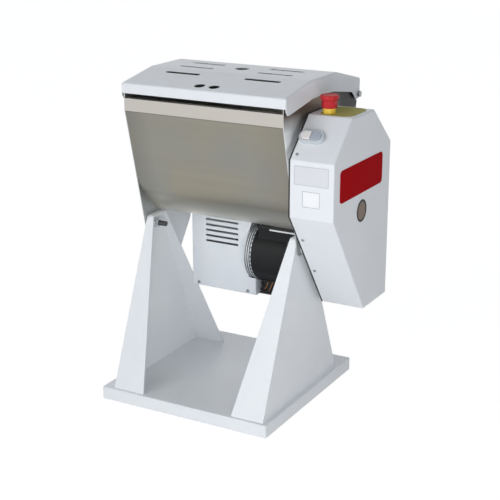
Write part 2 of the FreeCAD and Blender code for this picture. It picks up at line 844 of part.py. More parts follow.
def drive_cover():
    outer = plate_x(cover_outline(), cover_bend_r, cover_near_x, cover_far_x)
    outer = soften(outer, cover_side_r, lambda e: at_x(e, cover_far_x))
    t = cover_sheet
    inner = plate_x(inset(cover_outline(), t), cover_bend_r - t, cover_near_x - 1, cover_far_x - t)
    shell = outer.cut(inner)
    shell = shell.cut(rod_z(estop_hole_r(), cover_top_z - 10, cover_top_z + 10, estop_x, estop_y))
    shell = shell.cut(rod_y(gland_r - 2, cover_rear_y - 10, cover_rear_y + 10, cover_mid_x, gland_z))
    for place, normal in cover_screw_places():
        shell = shell.cut(Part.makeCylinder(cover_screw_r / 2 + running_gap, 10, place - normal * 5, normal))
    return shell


def cover_screws():
    screws = []
    for place, normal in cover_screw_places():
        head = Part.makeCylinder(cover_screw_r, cover_screw_head, place, normal)
        head = head.makeFillet(cover_screw_head * 0.45, [e for e in head.Edges if on_top(e, place, normal)])
        stem = Part.makeCylinder(cover_screw_r / 2, cover_sheet, place - normal * cover_sheet, normal)
        screws.append(head.fuse(stem).removeSplitter())
    return screws


def on_top(edge, place, normal):
    """Whether a round edge lies on the head's outer face."""
    if not isinstance(edge.Curve, Part.Circle):
        return False
    return (edge.Curve.Center - place).dot(normal) > cover_screw_head - 0.01


def cord_gland():
    """The inlet through the cover's back face, with its clamping nut."""
    body = rod_y(gland_r - 2 - running_gap, cover_rear_y - cover_sheet, cover_rear_y, cover_mid_x, gland_z)
    nut = rod_y(gland_r, cover_rear_y, cover_rear_y + gland_nut, cover_mid_x, gland_z)
    nose_start = Vector(cover_mid_x, cover_rear_y + gland_nut, gland_z)
    nose = Part.makeCone(gland_r - 1.5, gland_r - 4, gland_nose, nose_start, Vector(0, 1, 0))
    bore = rod_y(gland_r - 6, cover_rear_y - 10, cover_rear_y + 30, cover_mid_x, gland_z)
    return body.fuse([nut, nose]).removeSplitter().cut(bore)


# Lid

def lid():
    x0 = stand_centre_x - lid_half_width
    x1 = stand_centre_x + lid_half_width
    t = lid_sheet
    top = lid_top_outline()
    ears = [(lid_rear_y, lid_pin_z - lid_ear_r), (lid_pin_y - lid_ear_r, lid_pin_z - lid_ear_r)]
    side = top[1:5] + ears + lid_side_edge + [(lid_front_y, lid_front_bottom_z - 6)]
    bend = lid_bend_r
    ear_r = lid_ear_r * 0.7
    radii = [bend, lid_soft_r, lid_soft_r, bend, ear_r, ear_r] + lid_side_radii + [4.0]
    outer = plate_x(side, radii, x0, x1)

    def top_edge(edge):
        if not (at_x(edge, x0) or at_x(edge, x1)):
            return False
        box = edge.BoundBox
        return box.ZMin > lid_front_bottom_z - 8 and above_flange(box)

    def above_flange(box):
        mid_y = (box.YMin + box.YMax) / 2
        mid_z = (box.ZMin + box.ZMax) / 2
        if mid_y < lid_front_y + 4:
            return mid_z > lid_front_bottom_z
        if mid_y > lid_rear_y - 4:
            return mid_z > lid_rear_bottom_z + 1
        return mid_z > lid_front_top_z - 12 + (mid_y > lid_bend_2_y) * -6

    outer = soften(outer, lid_edge_r, top_edge)
    below = 600.0
    hollow_points = [(lid_front_y, below), (lid_front_y, lid_front_top_z)] + top[2:5] + [(lid_rear_y, below)]
    hollow_points = inset(hollow_points, t)
    hollow = plate_x(hollow_points, [0, bend - t, lid_soft_r, lid_soft_r, bend - t, 0], x0 + t, x1 - t)
    shell = outer.cut(hollow)
    between = block(x0 + t, lid_front_y - 1, below, x1 - t, lid_front_y + 30, lid_front_bottom_z)
    behind = block(x0 + t, lid_rear_y - 10, below, x1 - t, lid_rear_y + 1, lid_rear_bottom_z)
    shell = shell.cut([between, behind])
    for cutter in lid_cutters():
        shell = shell.cut(cutter)
    return shell.cut(rod_x(lid_pin_r + running_gap, x0 - 5, x1 + 5, lid_pin_y, lid_pin_z))


def lid_slot_places():
    return [(side * lid_slot_offset_x + stand_centre_x, y) for side in (-1, 1) for y in lid_slot_ys]


def lid_cutters():
    """The six vent slots, the water hole and the two finger holes."""
    z0 = lid_front_top_z - 20
    z1 = lid_top_z + 20
    half = lid_slot_length / 2
    wide = lid_slot_width / 2
    cutters = [plate_z(rectangle(x - half, y - wide, x + half, y + wide), wide * 0.96, z0, z1)
               for x, y in lid_slot_places()]
    cutters.append(rod_z(lid_water_hole_r, z0, z1, stand_centre_x, lid_water_hole_y))
    for side in (-1, 1):
        x = stand_centre_x + side * lid_finger_spacing / 2
        cutters.append(rod_z(lid_finger_hole_r, z0, z1, x, lid_finger_hole_y))
    return cutters


def lid_pins():
    """Shouldered studs set in the end plates: the lid's ears turn on them."""
    pins = []
    for side, face in ((-1, left_plate_in), (1, right_plate_in)):
        ear_out = stand_centre_x + side * lid_half_width
        head_in = ear_out + side * free_gap
        head_out = head_in + side * lid_pin_head
        ear_in = ear_out - side * (lid_sheet + free_gap)
        shank = rod_x(lid_pin_r, min(face, head_out), max(face, head_out), lid_pin_y, lid_pin_z)
        head = rod_x(lid_pin_head_r, min(head_in, head_out), max(head_in, head_out), lid_pin_y, lid_pin_z)
        seat = face + side * trough_sheet
        spacer = rod_x(lid_pin_head_r, min(seat, ear_in), max(seat, ear_in), lid_pin_y, lid_pin_z)
        pins.append(shank.fuse([head, spacer]).removeSplitter())
    return pins


# Mixing shaft and gears

def main_shaft():
    x0 = left_carrier_out - bearing_length - shaft_left_tail
    x1 = gear_x + pinion_width + shaft_right_tail
    shaft = rod_x(shaft_r, x0, x1, trough_y, trough_z)
    return soften(shaft, 1.5, lambda e: at_x(e, x0) or at_x(e, x1))


def mixing_arm():
    """A bar that winds half a turn round the shaft, carried by a spoke and hub at each end."""
    hub_left = left_plate_in + arm_end_gap
    hub_right = right_plate_in - arm_end_gap
    bar_left = hub_left + arm_hub_length / 2
    bar_right = hub_right - arm_hub_length / 2
    length = bar_right - bar_left
    helix = Part.makeHelix(2 * length, length, arm_r)
    section = Part.Wire(Part.makeCircle(arm_bar_r, Vector(arm_r, 0, 0), Vector(0, arm_r, length / math.pi)))
    bar = Part.Wire(helix).makePipeShell([section], True, True)
    bar.rotate(Vector(0, 0, 0), Vector(0, 1, 0), 90)
    bar.rotate(Vector(0, 0, 0), Vector(1, 0, 0), -90)
    bar.translate(Vector(bar_left, trough_y, trough_z))
    arm = bar
    for hub0, bar_x, way in ((hub_left, bar_left, -1), (hub_right - arm_hub_length, bar_right, 1)):
        y0, y1 = sorted((trough_y, trough_y + way * arm_r))
        spoke = rod_y(arm_spoke_r, y0, y1, bar_x, trough_z)
        knuckle = Part.makeSphere(arm_spoke_r + 1.5, Vector(bar_x, trough_y + way * arm_r, trough_z))
        hub = rod_x(arm_hub_r, hub0, hub0 + arm_hub_length, trough_y, trough_z)
        arm = arm.fuse(hub.fuse(spoke)).fuse(knuckle)
    return arm.cut(rod_x(shaft_r + running_gap, hub_left - 1, hub_right + 1, trough_y, trough_z))


def gear_outline_points(teeth, turn):
    """One involute tooth after another, as points round the gear."""
    pitch_r = gear_module * teeth / 2
    base_r = pitch_r * math.cos(pressure_angle)
    tip_r = pitch_r + gear_module
    root_r = pitch_r - 1.3 * gear_module
    half_tooth = (math.pi * gear_module / 2 - gear_backlash) / (2 * pitch_r)
    involute_at_pitch = math.tan(pressure_angle) - pressure_angle
    flank = []
    for share in (0.0, 0.35, 0.7, 1.0):
        r = max(base_r, root_r) + (tip_r - max(base_r, root_r)) * share
        a = math.acos(base_r / r)
        flank.append((r, half_tooth + involute_at_pitch - (math.tan(a) - a)))
    points = []
    for i in range(teeth):
        middle = turn + 2 * math.pi * i / teeth
        first = flank[0][1]
        points.append((root_r, middle - first))
        points += [(r, middle - a) for r, a in flank]
        points += [(r, middle + a) for r, a in reversed(flank)]
        points.append((root_r, middle + first))
    return points


def spur_gear(teeth, turn, x0, width, y, z, bore_r):
    points = [Vector(x0, y + r * math.cos(a), z + r * math.sin(a))
              for r, a in gear_outline_points(teeth, turn)]
    wire = Part.makePolygon(points + [points[0]])
    body = Part.Face(wire).extrude(Vector(width, 0, 0))
    return body.cut(rod_x(bore_r + running_gap, x0 - 1, x0 + width + 1, y, z))


def mesh_direction():
    return math.atan2(counter_z - trough_z, counter_y - trough_y)


def main_gear():
    """A tooth of the gear points at the countershaft. The web is thinner than the rim."""
    x0 = gear_x + (pinion_width - gear_width) / 2
    gear = spur_gear(gear_teeth, mesh_direction(), x0, gear_width, trough_y, trough_z, shaft_r)
    rim = gear_pitch_r - gear_rim
    for face in (x0 - 1, x0 + gear_width - gear_recess):
        recess = ring_x(rim, bearing_hub_r, face, face + gear_recess + 1, trough_y, trough_z)
        gear = gear.cut(recess)
    return gear


def gear_nut():
    x0 = gear_x + (pinion_width + gear_width) / 2
    x1 = x0 + gear_nut_height
    nut = hex_x(gear_nut_flats, x0, x1, trough_y, trough_z)
    return nut.cut(rod_x(shaft_r + running_gap, x0 - 1, x1 + 1, trough_y, trough_z))


def pinion():
    turn = mesh_direction() + math.pi + math.pi / pinion_teeth
    return spur_gear(pinion_teeth, turn, gear_x, pinion_width, counter_y, counter_z, countershaft_r)


def countershaft():
    x1 = bridge_x() + bridge_thick
    return rod_x(countershaft_r, right_carrier_out + free_gap, x1, counter_y, counter_z)


def grooved_pulley(outer_r, x0, y, z, bore_r):
    """A wheel with one groove for the belt."""
    wheel = rod_x(outer_r, x0, x0 + pulley_width, y, z)
    middle = x0 + pulley_width / 2
    half = belt_width / 2 + belt_side_gap
    floor_r = outer_r - belt_height - 2.0
    wheel = wheel.cut(ring_x(outer_r + 1, floor_r, middle - half, middle + half, y, z))
    return wheel.cut(rod_x(bore_r + running_gap, x0 - 1, x0 + pulley_width + 1, y, z))


def large_pulley():
    wheel = grooved_pulley(large_pulley_r, pulley_x, counter_y, counter_z, countershaft_r)
    for i in range(pulley_holes):
        angle = 2 * math.pi * (i + 0.5) / pulley_holes
        y = counter_y + pulley_hole_ring_r * math.cos(angle)
        z = counter_z + pulley_hole_ring_r * math.sin(angle)
        wheel = wheel.cut(rod_x(pulley_hole_r, pulley_x - 1, pulley_x + pulley_width + 1, y, z))
    return wheel


def motor_pulley():
    return grooved_pulley(small_pulley_r, pulley_x, motor_y, motor_z, motor_shaft_r)


def belt_loop(grow):
    """The outline of a loop round both pulleys, grown by an amount."""
    a = Vector(0, counter_y, counter_z)
    b = Vector(0, motor_y, motor_z)
    r1 = belt_large_r + grow
    r2 = belt_small_r + grow
    along = (b - a)
    length = along.Length
    base = math.atan2(along.z, along.y)
    spread = math.acos((r1 - r2) / length)
    points = []
    for centre, r in ((a, r1), (b, r2)):
        for sign in (1, -1):
            angle = base + sign * spread
            points.append(centre + Vector(0, r * math.cos(angle), r * math.sin(angle)))
    back_a = a - Vector(0, math.cos(base), math.sin(base)) * r1
    front_b = b + Vector(0, math.cos(base), math.sin(base)) * r2
    edges = [Part.Arc(points[0], back_a, points[1]).toShape(), Part.makeLine(points[1], points[3]),
             Part.Arc(points[3], front_b, points[2]).toShape(), Part.makeLine(points[2], points[0])]
    return Part.Face(Part.Wire(edges))


def drive_belt():
    x0 = pulley_x + (pulley_width - belt_width) / 2
    outer = belt_loop(belt_height).extrude(Vector(belt_width, 0, 0))
    inner = belt_loop(0.0).extrude(Vector(belt_width + 2, 0, 0)).translate(Vector(-1, 0, 0))
    return outer.cut(inner).translate(Vector(x0, 0, 0))


# Motor

def motor_frame():
    """The black barrel with its two feet up against the motor plate."""
    barrel = ring_x(motor_r, rotor_r + 3, motor_left_x, motor_right_x, motor_y, motor_z)
    mid = (motor_left_x + motor_right_x) / 2
    half = motor_foot_width / 2
    feet = []
    for side in (-1, 1):
        y0, y1 = sorted((motor_y + side * motor_foot_in, motor_y + side * motor_foot_out))
        feet.append(block(mid - half, y0, motor_z + rotor_r, mid + half, y1, motor_plate_z))
    hollow = rod_x(rotor_r + 3, motor_left_x - 1, motor_right_x + 1, motor_y, motor_z)
    return barrel.fuse(feet).removeSplitter().cut(hollow)


def bell_face_x():
    """The left face of the ringed part of the front bell."""
    return motor_left_x - bell_ring_pitch * (bell_rings - 1) - bell_ring_width


def motor_front_bell():
    """The silver end bell: raised rings outside the fan box and a narrower nose inside it."""
    x1 = motor_left_x
    x0 = x1 - motor_front_bell_length
    nose = rod_x(bell_nose_r, x0, x1, motor_y, motor_z)
    core = rod_x(motor_r - bell_groove, bell_face_x(), x1, motor_y, motor_z)
    ring_ends = [x1 - bell_ring_pitch * i for i in range(bell_rings)]
    rings = [rod_x(motor_r, end - bell_ring_width, end, motor_y, motor_z) for end in ring_ends]
    bell = nose.fuse([core] + rings).removeSplitter()
    return bell.cut(rod_x(motor_shaft_r + running_gap, x0 - 1, x1 + 1, motor_y, motor_z))


def motor_rear_bell():
    x0 = motor_right_x
    x1 = x0 + motor_rear_bell_length
    cone = Part.makeCone(motor_bell_taper_r, motor_bell_taper_r - 12, motor_rear_bell_length,
                         Vector(x0, motor_y, motor_z), Vector(1, 0, 0))
    return cone.cut(rod_x(motor_shaft_r + running_gap, x0 - 1, x1 + 1, motor_y, motor_z))


def motor_shaft():
    """The rotor and its shaft: the fan is on the left end, the pulley on the right."""
    x0 = motor_left_x - motor_front_bell_length - fan_gap - fan_width - 4.0
    x1 = pulley_x + pulley_width + 4.0
    core = rod_x(rotor_r, motor_left_x + 1, motor_right_x - 1, motor_y, motor_z)
    return rod_x(motor_shaft_r, x0, x1, motor_y, motor_z).fuse(core).removeSplitter()


def cooling_fan():
    x1 = motor_left_x - motor_front_bell_length - fan_gap
    x0 = x1 - fan_width
    hub = rod_x(fan_hub_r, x0, x1, motor_y, motor_z)
    disc = rod_x(fan_r, x1 - fan_blade, x1, motor_y, motor_z)
    blades = []
    half = fan_blade / 2
    for i in range(fan_blades):
        blade = block(x0, motor_y - half, motor_z + fan_hub_r - 2, x1, motor_y + half, motor_z + fan_r - 1)
        blade.rotate(Vector(0, motor_y, motor_z), Vector(1, 0, 0), 360.0 * i / fan_blades)
        blades.append(blade)
    fan = hub.fuse([disc] + blades).removeSplitter()
    return fan.cut(rod_x(motor_shaft_r + running_gap, x0 - 1, x1 + 1, motor_y, motor_z))


def motor_plate():
    """The shelf under the trough, from the left carrier plate to the drive plate."""
    front = motor_y - motor_r - 1.0
    rear = motor_y + motor_r + 1.0
    near = motor_y - motor_plate_neck_half
    far = motor_y + motor_plate_neck_half
    points = [(left_plate_out, near), (motor_plate_step_x, near), (motor_plate_step_x, front),
              (right_plate_out, front), (right_plate_out, rear), (box_right_x + 6, rear),
              (box_right_x + 6, far), (left_plate_out, far)]
    return plate_z(points, 0, motor_plate_z, motor_plate_z + motor_plate_thick)


def motor_cutout():
    """The corner that the front sheet leaves open, shaped round the motor's rings."""
    left = bell_face_x() - cutout_gap
    low = motor_z - cutout_below
    high = motor_z + cutout_above
    right = box_right_x + 1
    far = left + (box_top_z + 1 - high) * cutout_lean
    points = [(right, low), (left + cutout_corner, low), (left, low + cutout_corner), (left, high),
              (far, box_top_z + 1), (right, box_top_z + 1)]
    return plate_y(points, cutout_radii, box_front_y - 1, motor_y)


def fan_box():
    """A sheet box with louvres: the motor shows through the open corner of its front."""
    t = box_sheet
    outer = block(box_left_x, box_front_y, box_bottom_z, box_right_x, box_rear_y, box_top_z)
    outer = outer.makeFillet(3.0, [e for e in outer.Edges if is_box_edge(e)])
    inner = block(box_left_x + t, box_front_y + t, box_bottom_z + t, box_right_x - t, box_rear_y - t,
                  box_top_z + 1)
    shell = outer.cut(inner).cut(motor_plate()).cut(motor_cutout())
    shell = shell.cut(rod_x(motor_r + 3.0, bell_face_x(), box_right_x + 1, motor_y, motor_z))
    for i in range(louvre_count):
        z = louvre_top_z - louvre_pitch * i
        shell = shell.cut(block(louvre_left_x, box_front_y - 1, z - louvre_height / 2, louvre_right_x,
                                box_front_y + 5, z + louvre_height / 2))
    return shell


def is_box_edge(edge):
    box = edge.BoundBox
    upright = box.ZLength > 20 and box.YMax < box_front_y + 1
    low_front = abs(box.ZMax - box_bottom_z) < 0.01 and box.YMax < box_front_y + 1
    return upright or low_front


def box_screws():
    screws = []
    for x, z in ((box_left_x + 18.0, box_bottom_z + 8.0), (box_right_x - 22.0, box_bottom_z + 8.0)):
        head = rod_y(4.0, box_front_y - 2.0, box_front_y, x, z)
        screws.append(head.makeFillet(0.9, [e for e in head.Edges if e.BoundBox.YMax < box_front_y - 1.9]))
    return screws


def lead_tray():
    """The strip under the motor that keeps its leads off the belt side."""
    x0 = box_right_x
    return block(x0, motor_y - tray_strip_half, box_bottom_z,
                 x0 + tray_strip_length, motor_y + tray_strip_half, box_bottom_z + tray_strip_thick)


def run_capacitor():
    x0 = box_left_x + box_sheet + 12.0
    body = rod_x(capacitor_r, x0, x0 + capacitor_length, motor_y, box_bottom_z + box_sheet + capacitor_r)
    return soften(body, 3.0, lambda e: at_x(e, x0) or at_x(e, x0 + capacitor_length))


# Controls

def estop_hole_r():
    return estop_base_r - 2.5


def estop_base():
    """The collar on the cover and the contact block below it."""
    top = cover_top_z + estop_base_height
    seat = cover_top_z + legend_thick
    collar = rod_z(estop_base_r, seat, top, estop_x, estop_y)
    neck = rod_z(estop_hole_r() - running_gap, cover_top_z - cover_sheet, seat, estop_x, estop_y)
    half = contact_block_half
    under = cover_top_z - cover_sheet
    contact = block(estop_x - half, estop_y - half, under - contact_block_height,
                    estop_x + half, estop_y + half, under)
    body = collar.fuse([neck, contact]).removeSplitter()
    return body.cut(rod_z(estop_stem_r + running_gap, top - 20, top + 1, estop_x, estop_y))


def estop_head():
    """The mushroom head: its skirt slides over the collar."""
    top = cover_top_z + estop_head_top
    skirt_z = cover_top_z + estop_skirt_z
    crown_z = top - estop_crown
    neck = rod_z(estop_neck_r, skirt_z, crown_z + 1, estop_x, estop_y)
    crown = rod_z(estop_head_r, crown_z, top, estop_x, estop_y)
    crown = crown.makeFillet(3.5, [e for e in crown.Edges if abs(e.BoundBox.ZMin - top) < 0.01])
    ceiling = cover_top_z + estop_base_height + estop_travel + 1.0
    hollow = rod_z(estop_base_r + 0.4, skirt_z - 1, ceiling, estop_x, estop_y)
    stem = rod_z(estop_stem_r, cover_top_z + estop_base_height - 12.0, ceiling + 1, estop_x, estop_y)
    return neck.fuse(crown).removeSplitter().cut(hollow).fuse(stem).removeSplitter()


def estop_legend():
    plate = plate_z(rectangle(legend_left_x, legend_front_y, legend_right_x, legend_rear_y), legend_corner_r,
                    cover_top_z, cover_top_z + legend_thick)
    return plate.cut(rod_z(estop_hole_r(), cover_top_z - 1, cover_top_z + 3, estop_x, estop_y))


def on_slope(shape):
    """Lays a shape made about the origin, face up, on the cover's upper slope."""
    place = on_upper_slope(switch_x, switch_share)
    shape.rotate(Vector(0, 0, 0), Vector(1, 0, 0), math.degrees(switch_lean))
    return shape.translate(place)


def switch_housing():
    half = switch_length / 2
    wide = switch_width / 2
    body = plate_z(rectangle(-half, -wide, half, wide), wide * 0.98, 0, switch_height)
    body = body.makeFillet(3.0, [e for e in body.Edges if abs(e.BoundBox.ZMin - switch_height) < 0.01])
    for side in (-1, 1):
        body = body.cut(switch_button_body(side, free_gap, switch_height - switch_pocket))
    return on_slope(body)


def switch_button_body(side, grow, z0):
    """One end of an oval, cut straight in the middle."""
    half = switch_length / 2 - switch_rim + grow
    wide = switch_width / 2 - switch_rim + grow
    oval = plate_z(rectangle(-half, -wide, half, wide), wide * 0.97, z0, switch_height + button_depth)
    x0, x1 = sorted((side * (0.9 - grow), side * (half + 1)))
    return oval.common(block(x0, -wide - 1, z0 - 1, x1, wide + 1, switch_height + button_depth + 1))


def start_button():
    return on_slope(soft_button(-1))


def stop_button():
    return on_slope(soft_button(1))


def soft_button(side):
    top = switch_height + button_depth
    body = switch_button_body(side, 0.0, switch_height - switch_pocket + button_travel + free_gap)
    return body.makeFillet(1.2, [e for e in body.Edges if abs(e.BoundBox.ZMin - top) < 0.01])


def side_badge():
    corners = rectangle(badge_front_y, badge_bottom_z, badge_rear_y, badge_top_z)
    return plate_x(corners, badge_corner_r, cover_far_x, cover_far_x + badge_thick)


def side_disc():
    x0 = cover_far_x
    return rod_x(disc_r, x0, x0 + badge_thick, disc_y, disc_z)


def front_labels():
    y1 = cover_front_y
    y0 = y1 - label_thick
    labels = []
    for near, low, far, high in (upper_label, lower_label):
        corners = rectangle(cover_near_x + near, cover_front_top_z + low,
                            cover_near_x + far, cover_front_top_z + high)
        labels.append(plate_y(corners, label_corner_r, y0, y1))
    return labels


def pieces():
    """Every piece, by the name of its file."""
    return {
        "base_pan": base_pan(),
        "base_feet": base_feet(),
        "left_stand": stand(-1),
        "right_stand": stand(1),
        "pivot_bolts": pivot_bolts(),
        "pivot_washers": pivot_washers(),
        "pivot_nuts": pivot_nuts(),
        "stop_pins": stop_pins(),
        "stop_sleeves": stop_sleeves(),
        "trough_shell": trough_shell(),
        "left_end_plate": end_plate(left_plate_out),
        "right_end_plate": end_plate(right_plate_in),
        "left_carrier_plate": left_carrier_plate(),
        "drive_plate": drive_plate(),
        "pivot_bushes": pivot_bushes(),
        "shaft_seals": shaft_seals(),
        "shaft_bearings": shaft_bearings(),
        "counter_bearings": counter_bearings(),
        "bridge_posts": bridge_posts(),
        "bearing_bridge": bearing_bridge(),
        "drive_cover": drive_cover(),
        "cover_screws": cover_screws(),
        "cord_gland": cord_gland(),
        "lid": lid(),
        "lid_pins": lid_pins(),
        "main_shaft": main_shaft(),
        "mixing_arm": mixing_arm(),
        "main_gear": main_gear(),
        "gear_nut": gear_nut(),
        "pinion": pinion(),
        "countershaft": countershaft(),
        "large_pulley": large_pulley(),
        "motor_pulley": motor_pulley(),
        "drive_belt": drive_belt(),
        "motor_frame": motor_frame(),
        "motor_front_bell": motor_front_bell(),
        "motor_rear_bell": motor_rear_bell(),
        "motor_shaft": motor_shaft(),
        "cooling_fan": cooling_fan(),
        "motor_plate": motor_plate(),
        "fan_box": fan_box(),
        "box_screws": box_screws(),
        "lead_tray": lead_tray(),
        "run_capacitor": run_capacitor(),
        "estop_base": estop_base(),
        "estop_head": estop_head(),
        "estop_legend": estop_legend(),
        "switch_housing": switch_housing(),
        "start_button": start_button(),
        "stop_button": stop_button(),
        "side_badge": side_badge(),
        "side_disc": side_disc(),
        "front_labels": front_labels(),
    }


os.makedirs("parts", exist_ok=True)
for name, shape in pieces().items():
    if isinstance(shape, list):
        shape = Part.makeCompound(shape)
    shape.exportStep("parts/" + name + ".step")
    print(name, len(shape.Solids), shape.isValid(), round(shape.Volume))
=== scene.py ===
# %% [markdown]
# # A small tilting dough mixer
# A stainless trough with a lid hangs between two folded steel stands on a base pan, and a sheet
# cover on its right hides the drive. The solids come from the CAD model in metres, already in
# place, so this lesson never moves them. It adds the camera, the light, the finishes, and the
# small turned and folded pieces that catch the eye.

# %% Load the solids
import math
import bmesh
import bpy
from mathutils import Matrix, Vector


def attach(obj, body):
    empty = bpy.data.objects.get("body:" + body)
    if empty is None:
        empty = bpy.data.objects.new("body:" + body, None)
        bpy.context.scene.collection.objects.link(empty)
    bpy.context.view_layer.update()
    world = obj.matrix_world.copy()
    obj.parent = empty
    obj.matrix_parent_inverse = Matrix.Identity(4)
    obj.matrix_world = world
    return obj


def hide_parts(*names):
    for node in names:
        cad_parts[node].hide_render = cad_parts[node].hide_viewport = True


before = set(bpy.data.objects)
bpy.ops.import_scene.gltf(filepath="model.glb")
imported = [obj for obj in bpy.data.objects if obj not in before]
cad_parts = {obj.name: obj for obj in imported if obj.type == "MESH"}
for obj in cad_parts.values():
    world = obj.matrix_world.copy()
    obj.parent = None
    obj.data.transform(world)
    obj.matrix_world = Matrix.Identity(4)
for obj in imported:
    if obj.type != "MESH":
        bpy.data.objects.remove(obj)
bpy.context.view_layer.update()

# %% [markdown]
# ## The camera
# The mixer is seen from its front right corner, a little from above, through a long lens, so
# that its upright edges stay nearly parallel. A camera that is turned by hand drifts, so its
# place and the point it looks at are written down and the turn is worked out from them.

# %% Place the camera
MM = 0.001
camera = bpy.data.objects.new("camera", bpy.data.cameras.new("camera"))
bpy.context.scene.collection.objects.link(camera)
bpy.context.scene.camera = camera
camera.data.sensor_width = 36.0
camera.data.lens = 85.711
camera.location = Vector((1319.7, -2271.6, 1173.6)) * MM
look_at = Vector((42.42, 23.46, 336.85)) * MM
camera.rotation_euler = (look_at - camera.location).to_track_quat("-Z", "Y").to_euler()
print("camera distance in metres:", round((look_at - camera.location).length, 3))

# %% [markdown]
# ## Colours and shader nodes
# A paint card gives colours as sRGB, but a shader adds up light, so it needs linear values. One
# function turns one into the other. One more adds any node with its settings and its links, and
# keeps each finish below to a few lines. Two small ones serve nodes with several sockets of one
# name: the first links sources in order, the second picks the colour socket of a mix.

# %% Colour and node helpers
def linear(hex_colour):
    """Turns an sRGB colour such as #E8EAEC into the linear values of a shader."""
    channels = [int(hex_colour[i:i + 2], 16) / 255 for i in (1, 3, 5)]
    return [c / 12.92 if c <= 0.04045 else ((c + 0.055) / 1.055) ** 2.4 for c in channels] + [1.0]


def add_node(tree, kind, settings=None, links=None):
    """Adds a node. A setting that starts with a capital is a socket's value."""
    made = tree.nodes.new(kind)
    for key, value in (settings or {}).items():
        if key[0].isupper():
            made.inputs[key].default_value = value
        else:
            setattr(made, key, value)
    for socket, source in (links or {}).items():
        tree.links.new(source, made.inputs[socket])
    return made


def join(tree, kind, sources, settings=None):
    """Adds a node, links the sources to its inputs in order, and gives its output."""
    made = add_node(tree, kind, settings)
    for socket, source in zip(made.inputs, sources):
        tree.links.new(source, socket)
    return made.outputs[0]


def colour_socket(sockets, name):
    """Picks the colour socket of a mix, which has number and vector sockets of the same name."""
    return next(s for s in sockets if s.name == name and s.type == "RGBA")


print("mid grey is", round(linear("#808080")[0], 3), "in linear light")

# %% [markdown]
# ## One recipe for a made surface
# No real surface is one flat colour. Paint has a faint cloudiness and an orange-peel skin, cast
# iron has a grain, and brushed sheet has long scratches. All of these are noise at a real size in
# space, so one recipe serves them: soft patches between two close colours, gloss that varies, and
# a fine relief. The pattern is placed by the position in metres, which needs no unwrapping, and a
# stretch along one axis turns grains into brush lines. A bevel on the normal rounds the edges
# that a press brake or a mould would round.

# %% The surface recipe
NOISE_LOW, NOISE_HIGH = 0.3, 0.7


def surface(name, pale, dark, patch, rough, grain, relief, metallic=0.0, stretch=(1, 1, 1), edge=0.5,
            socket_values=None):
    """Patch, grain, relief and edge are in millimetres, and rough is the range of the gloss."""
    material = bpy.data.materials.new(name)
    material.use_nodes = True
    tree = material.node_tree
    tree.nodes.clear()
    place = add_node(tree, "ShaderNodeTexCoord")
    spread = add_node(tree, "ShaderNodeMapping", {"Scale": stretch}, {"Vector": place.outputs["Object"]})
    where = {"Vector": spread.outputs["Vector"]}
    patches = add_node(tree, "ShaderNodeTexNoise", {"Scale": 1 / (patch * MM), "Detail": 3.0}, where)
    grains = add_node(tree, "ShaderNodeTexNoise", {"Scale": 1 / (grain * MM), "Detail": 2.0}, where)
    tint = add_node(tree, "ShaderNodeMix", {"data_type": "RGBA"}, {"Factor": patches.outputs["Fac"]})
    for socket, colour in (("A", pale), ("B", dark)):
        colour_socket(tint.inputs, socket).default_value = linear(colour)
    gloss = add_node(tree, "ShaderNodeMapRange",
                     {"From Min": NOISE_LOW, "From Max": NOISE_HIGH, "To Min": rough[0], "To Max": rough[1]},
                     {"Value": grains.outputs["Fac"]})
    rounded = add_node(tree, "ShaderNodeBevel", {"samples": 4, "Radius": edge * MM})
    skin = add_node(tree, "ShaderNodeBump", {"Distance": relief * MM, "Strength": 1.0},
                    {"Height": grains.outputs["Fac"], "Normal": rounded.outputs["Normal"]})
    shader = add_node(tree, "ShaderNodeBsdfPrincipled", {"Metallic": metallic, **(socket_values or {})},
                      {"Roughness": gloss.outputs["Result"], "Normal": skin.outputs["Normal"]})
    tree.links.new(colour_socket(tint.outputs, "Result"), shader.inputs["Base Color"])
    add_node(tree, "ShaderNodeOutputMaterial", None, {"Surface": shader.outputs["BSDF"]})
    return material


print("the recipe takes millimetres and gives a material")

# %% [markdown]
# ## Painted steel
# The stands, the pan, the lid, the drive cover and the fan box are steel sheet with a baked
# powder coat. The powder melts into a film about 0.1 mm thick: it softens every edge and leaves
# the faint skin of an orange. The real skin has waves of 1 to 3 mm, finer than a pixel here, so
# it is drawn at 5 or 6 mm. The film is a plain plastic, so it isn't metallic and its gloss is
# satin. The motor's enamel is nearly black and has a finer grain.

# %% Painted steel
powder_coat = surface("powder_coated_steel", "#F1F3F5", "#E8EBEE", patch=90, rough=(0.34, 0.44), grain=6,
                      relief=0.05, edge=0.9,
                      socket_values={"Coat Weight": 0.15, "Coat Roughness": 0.25})
fan_box_paint = surface("powder_coated_sheet", "#EEF2F6", "#E2E7EC", patch=60, rough=(0.30, 0.40), grain=5,
                        relief=0.05, edge=0.9,
                        socket_values={"Coat Weight": 0.2, "Coat Roughness": 0.2})
motor_enamel = surface("satin_black_enamel", "#1B1C1E", "#141517", patch=30, rough=(0.42, 0.56), grain=3,
                       relief=0.06, edge=0.6, socket_values={"Specular IOR Level": 0.25})
print("painted:", powder_coat.name, fan_box_paint.name, motor_enamel.name)

# %% [markdown]
# ## Stainless steel
# The trough is bent from cold-rolled stainless sheet. Rolling leaves fine lines that run along
# the sheet, here along the shaft. They are hundredths of a millimetre apart, so they are drawn
# about a millimetre apart and thirty times as long. The metal is warm grey and half matt: it
# mirrors light and dark in broad soft areas and shows no picture of the room.

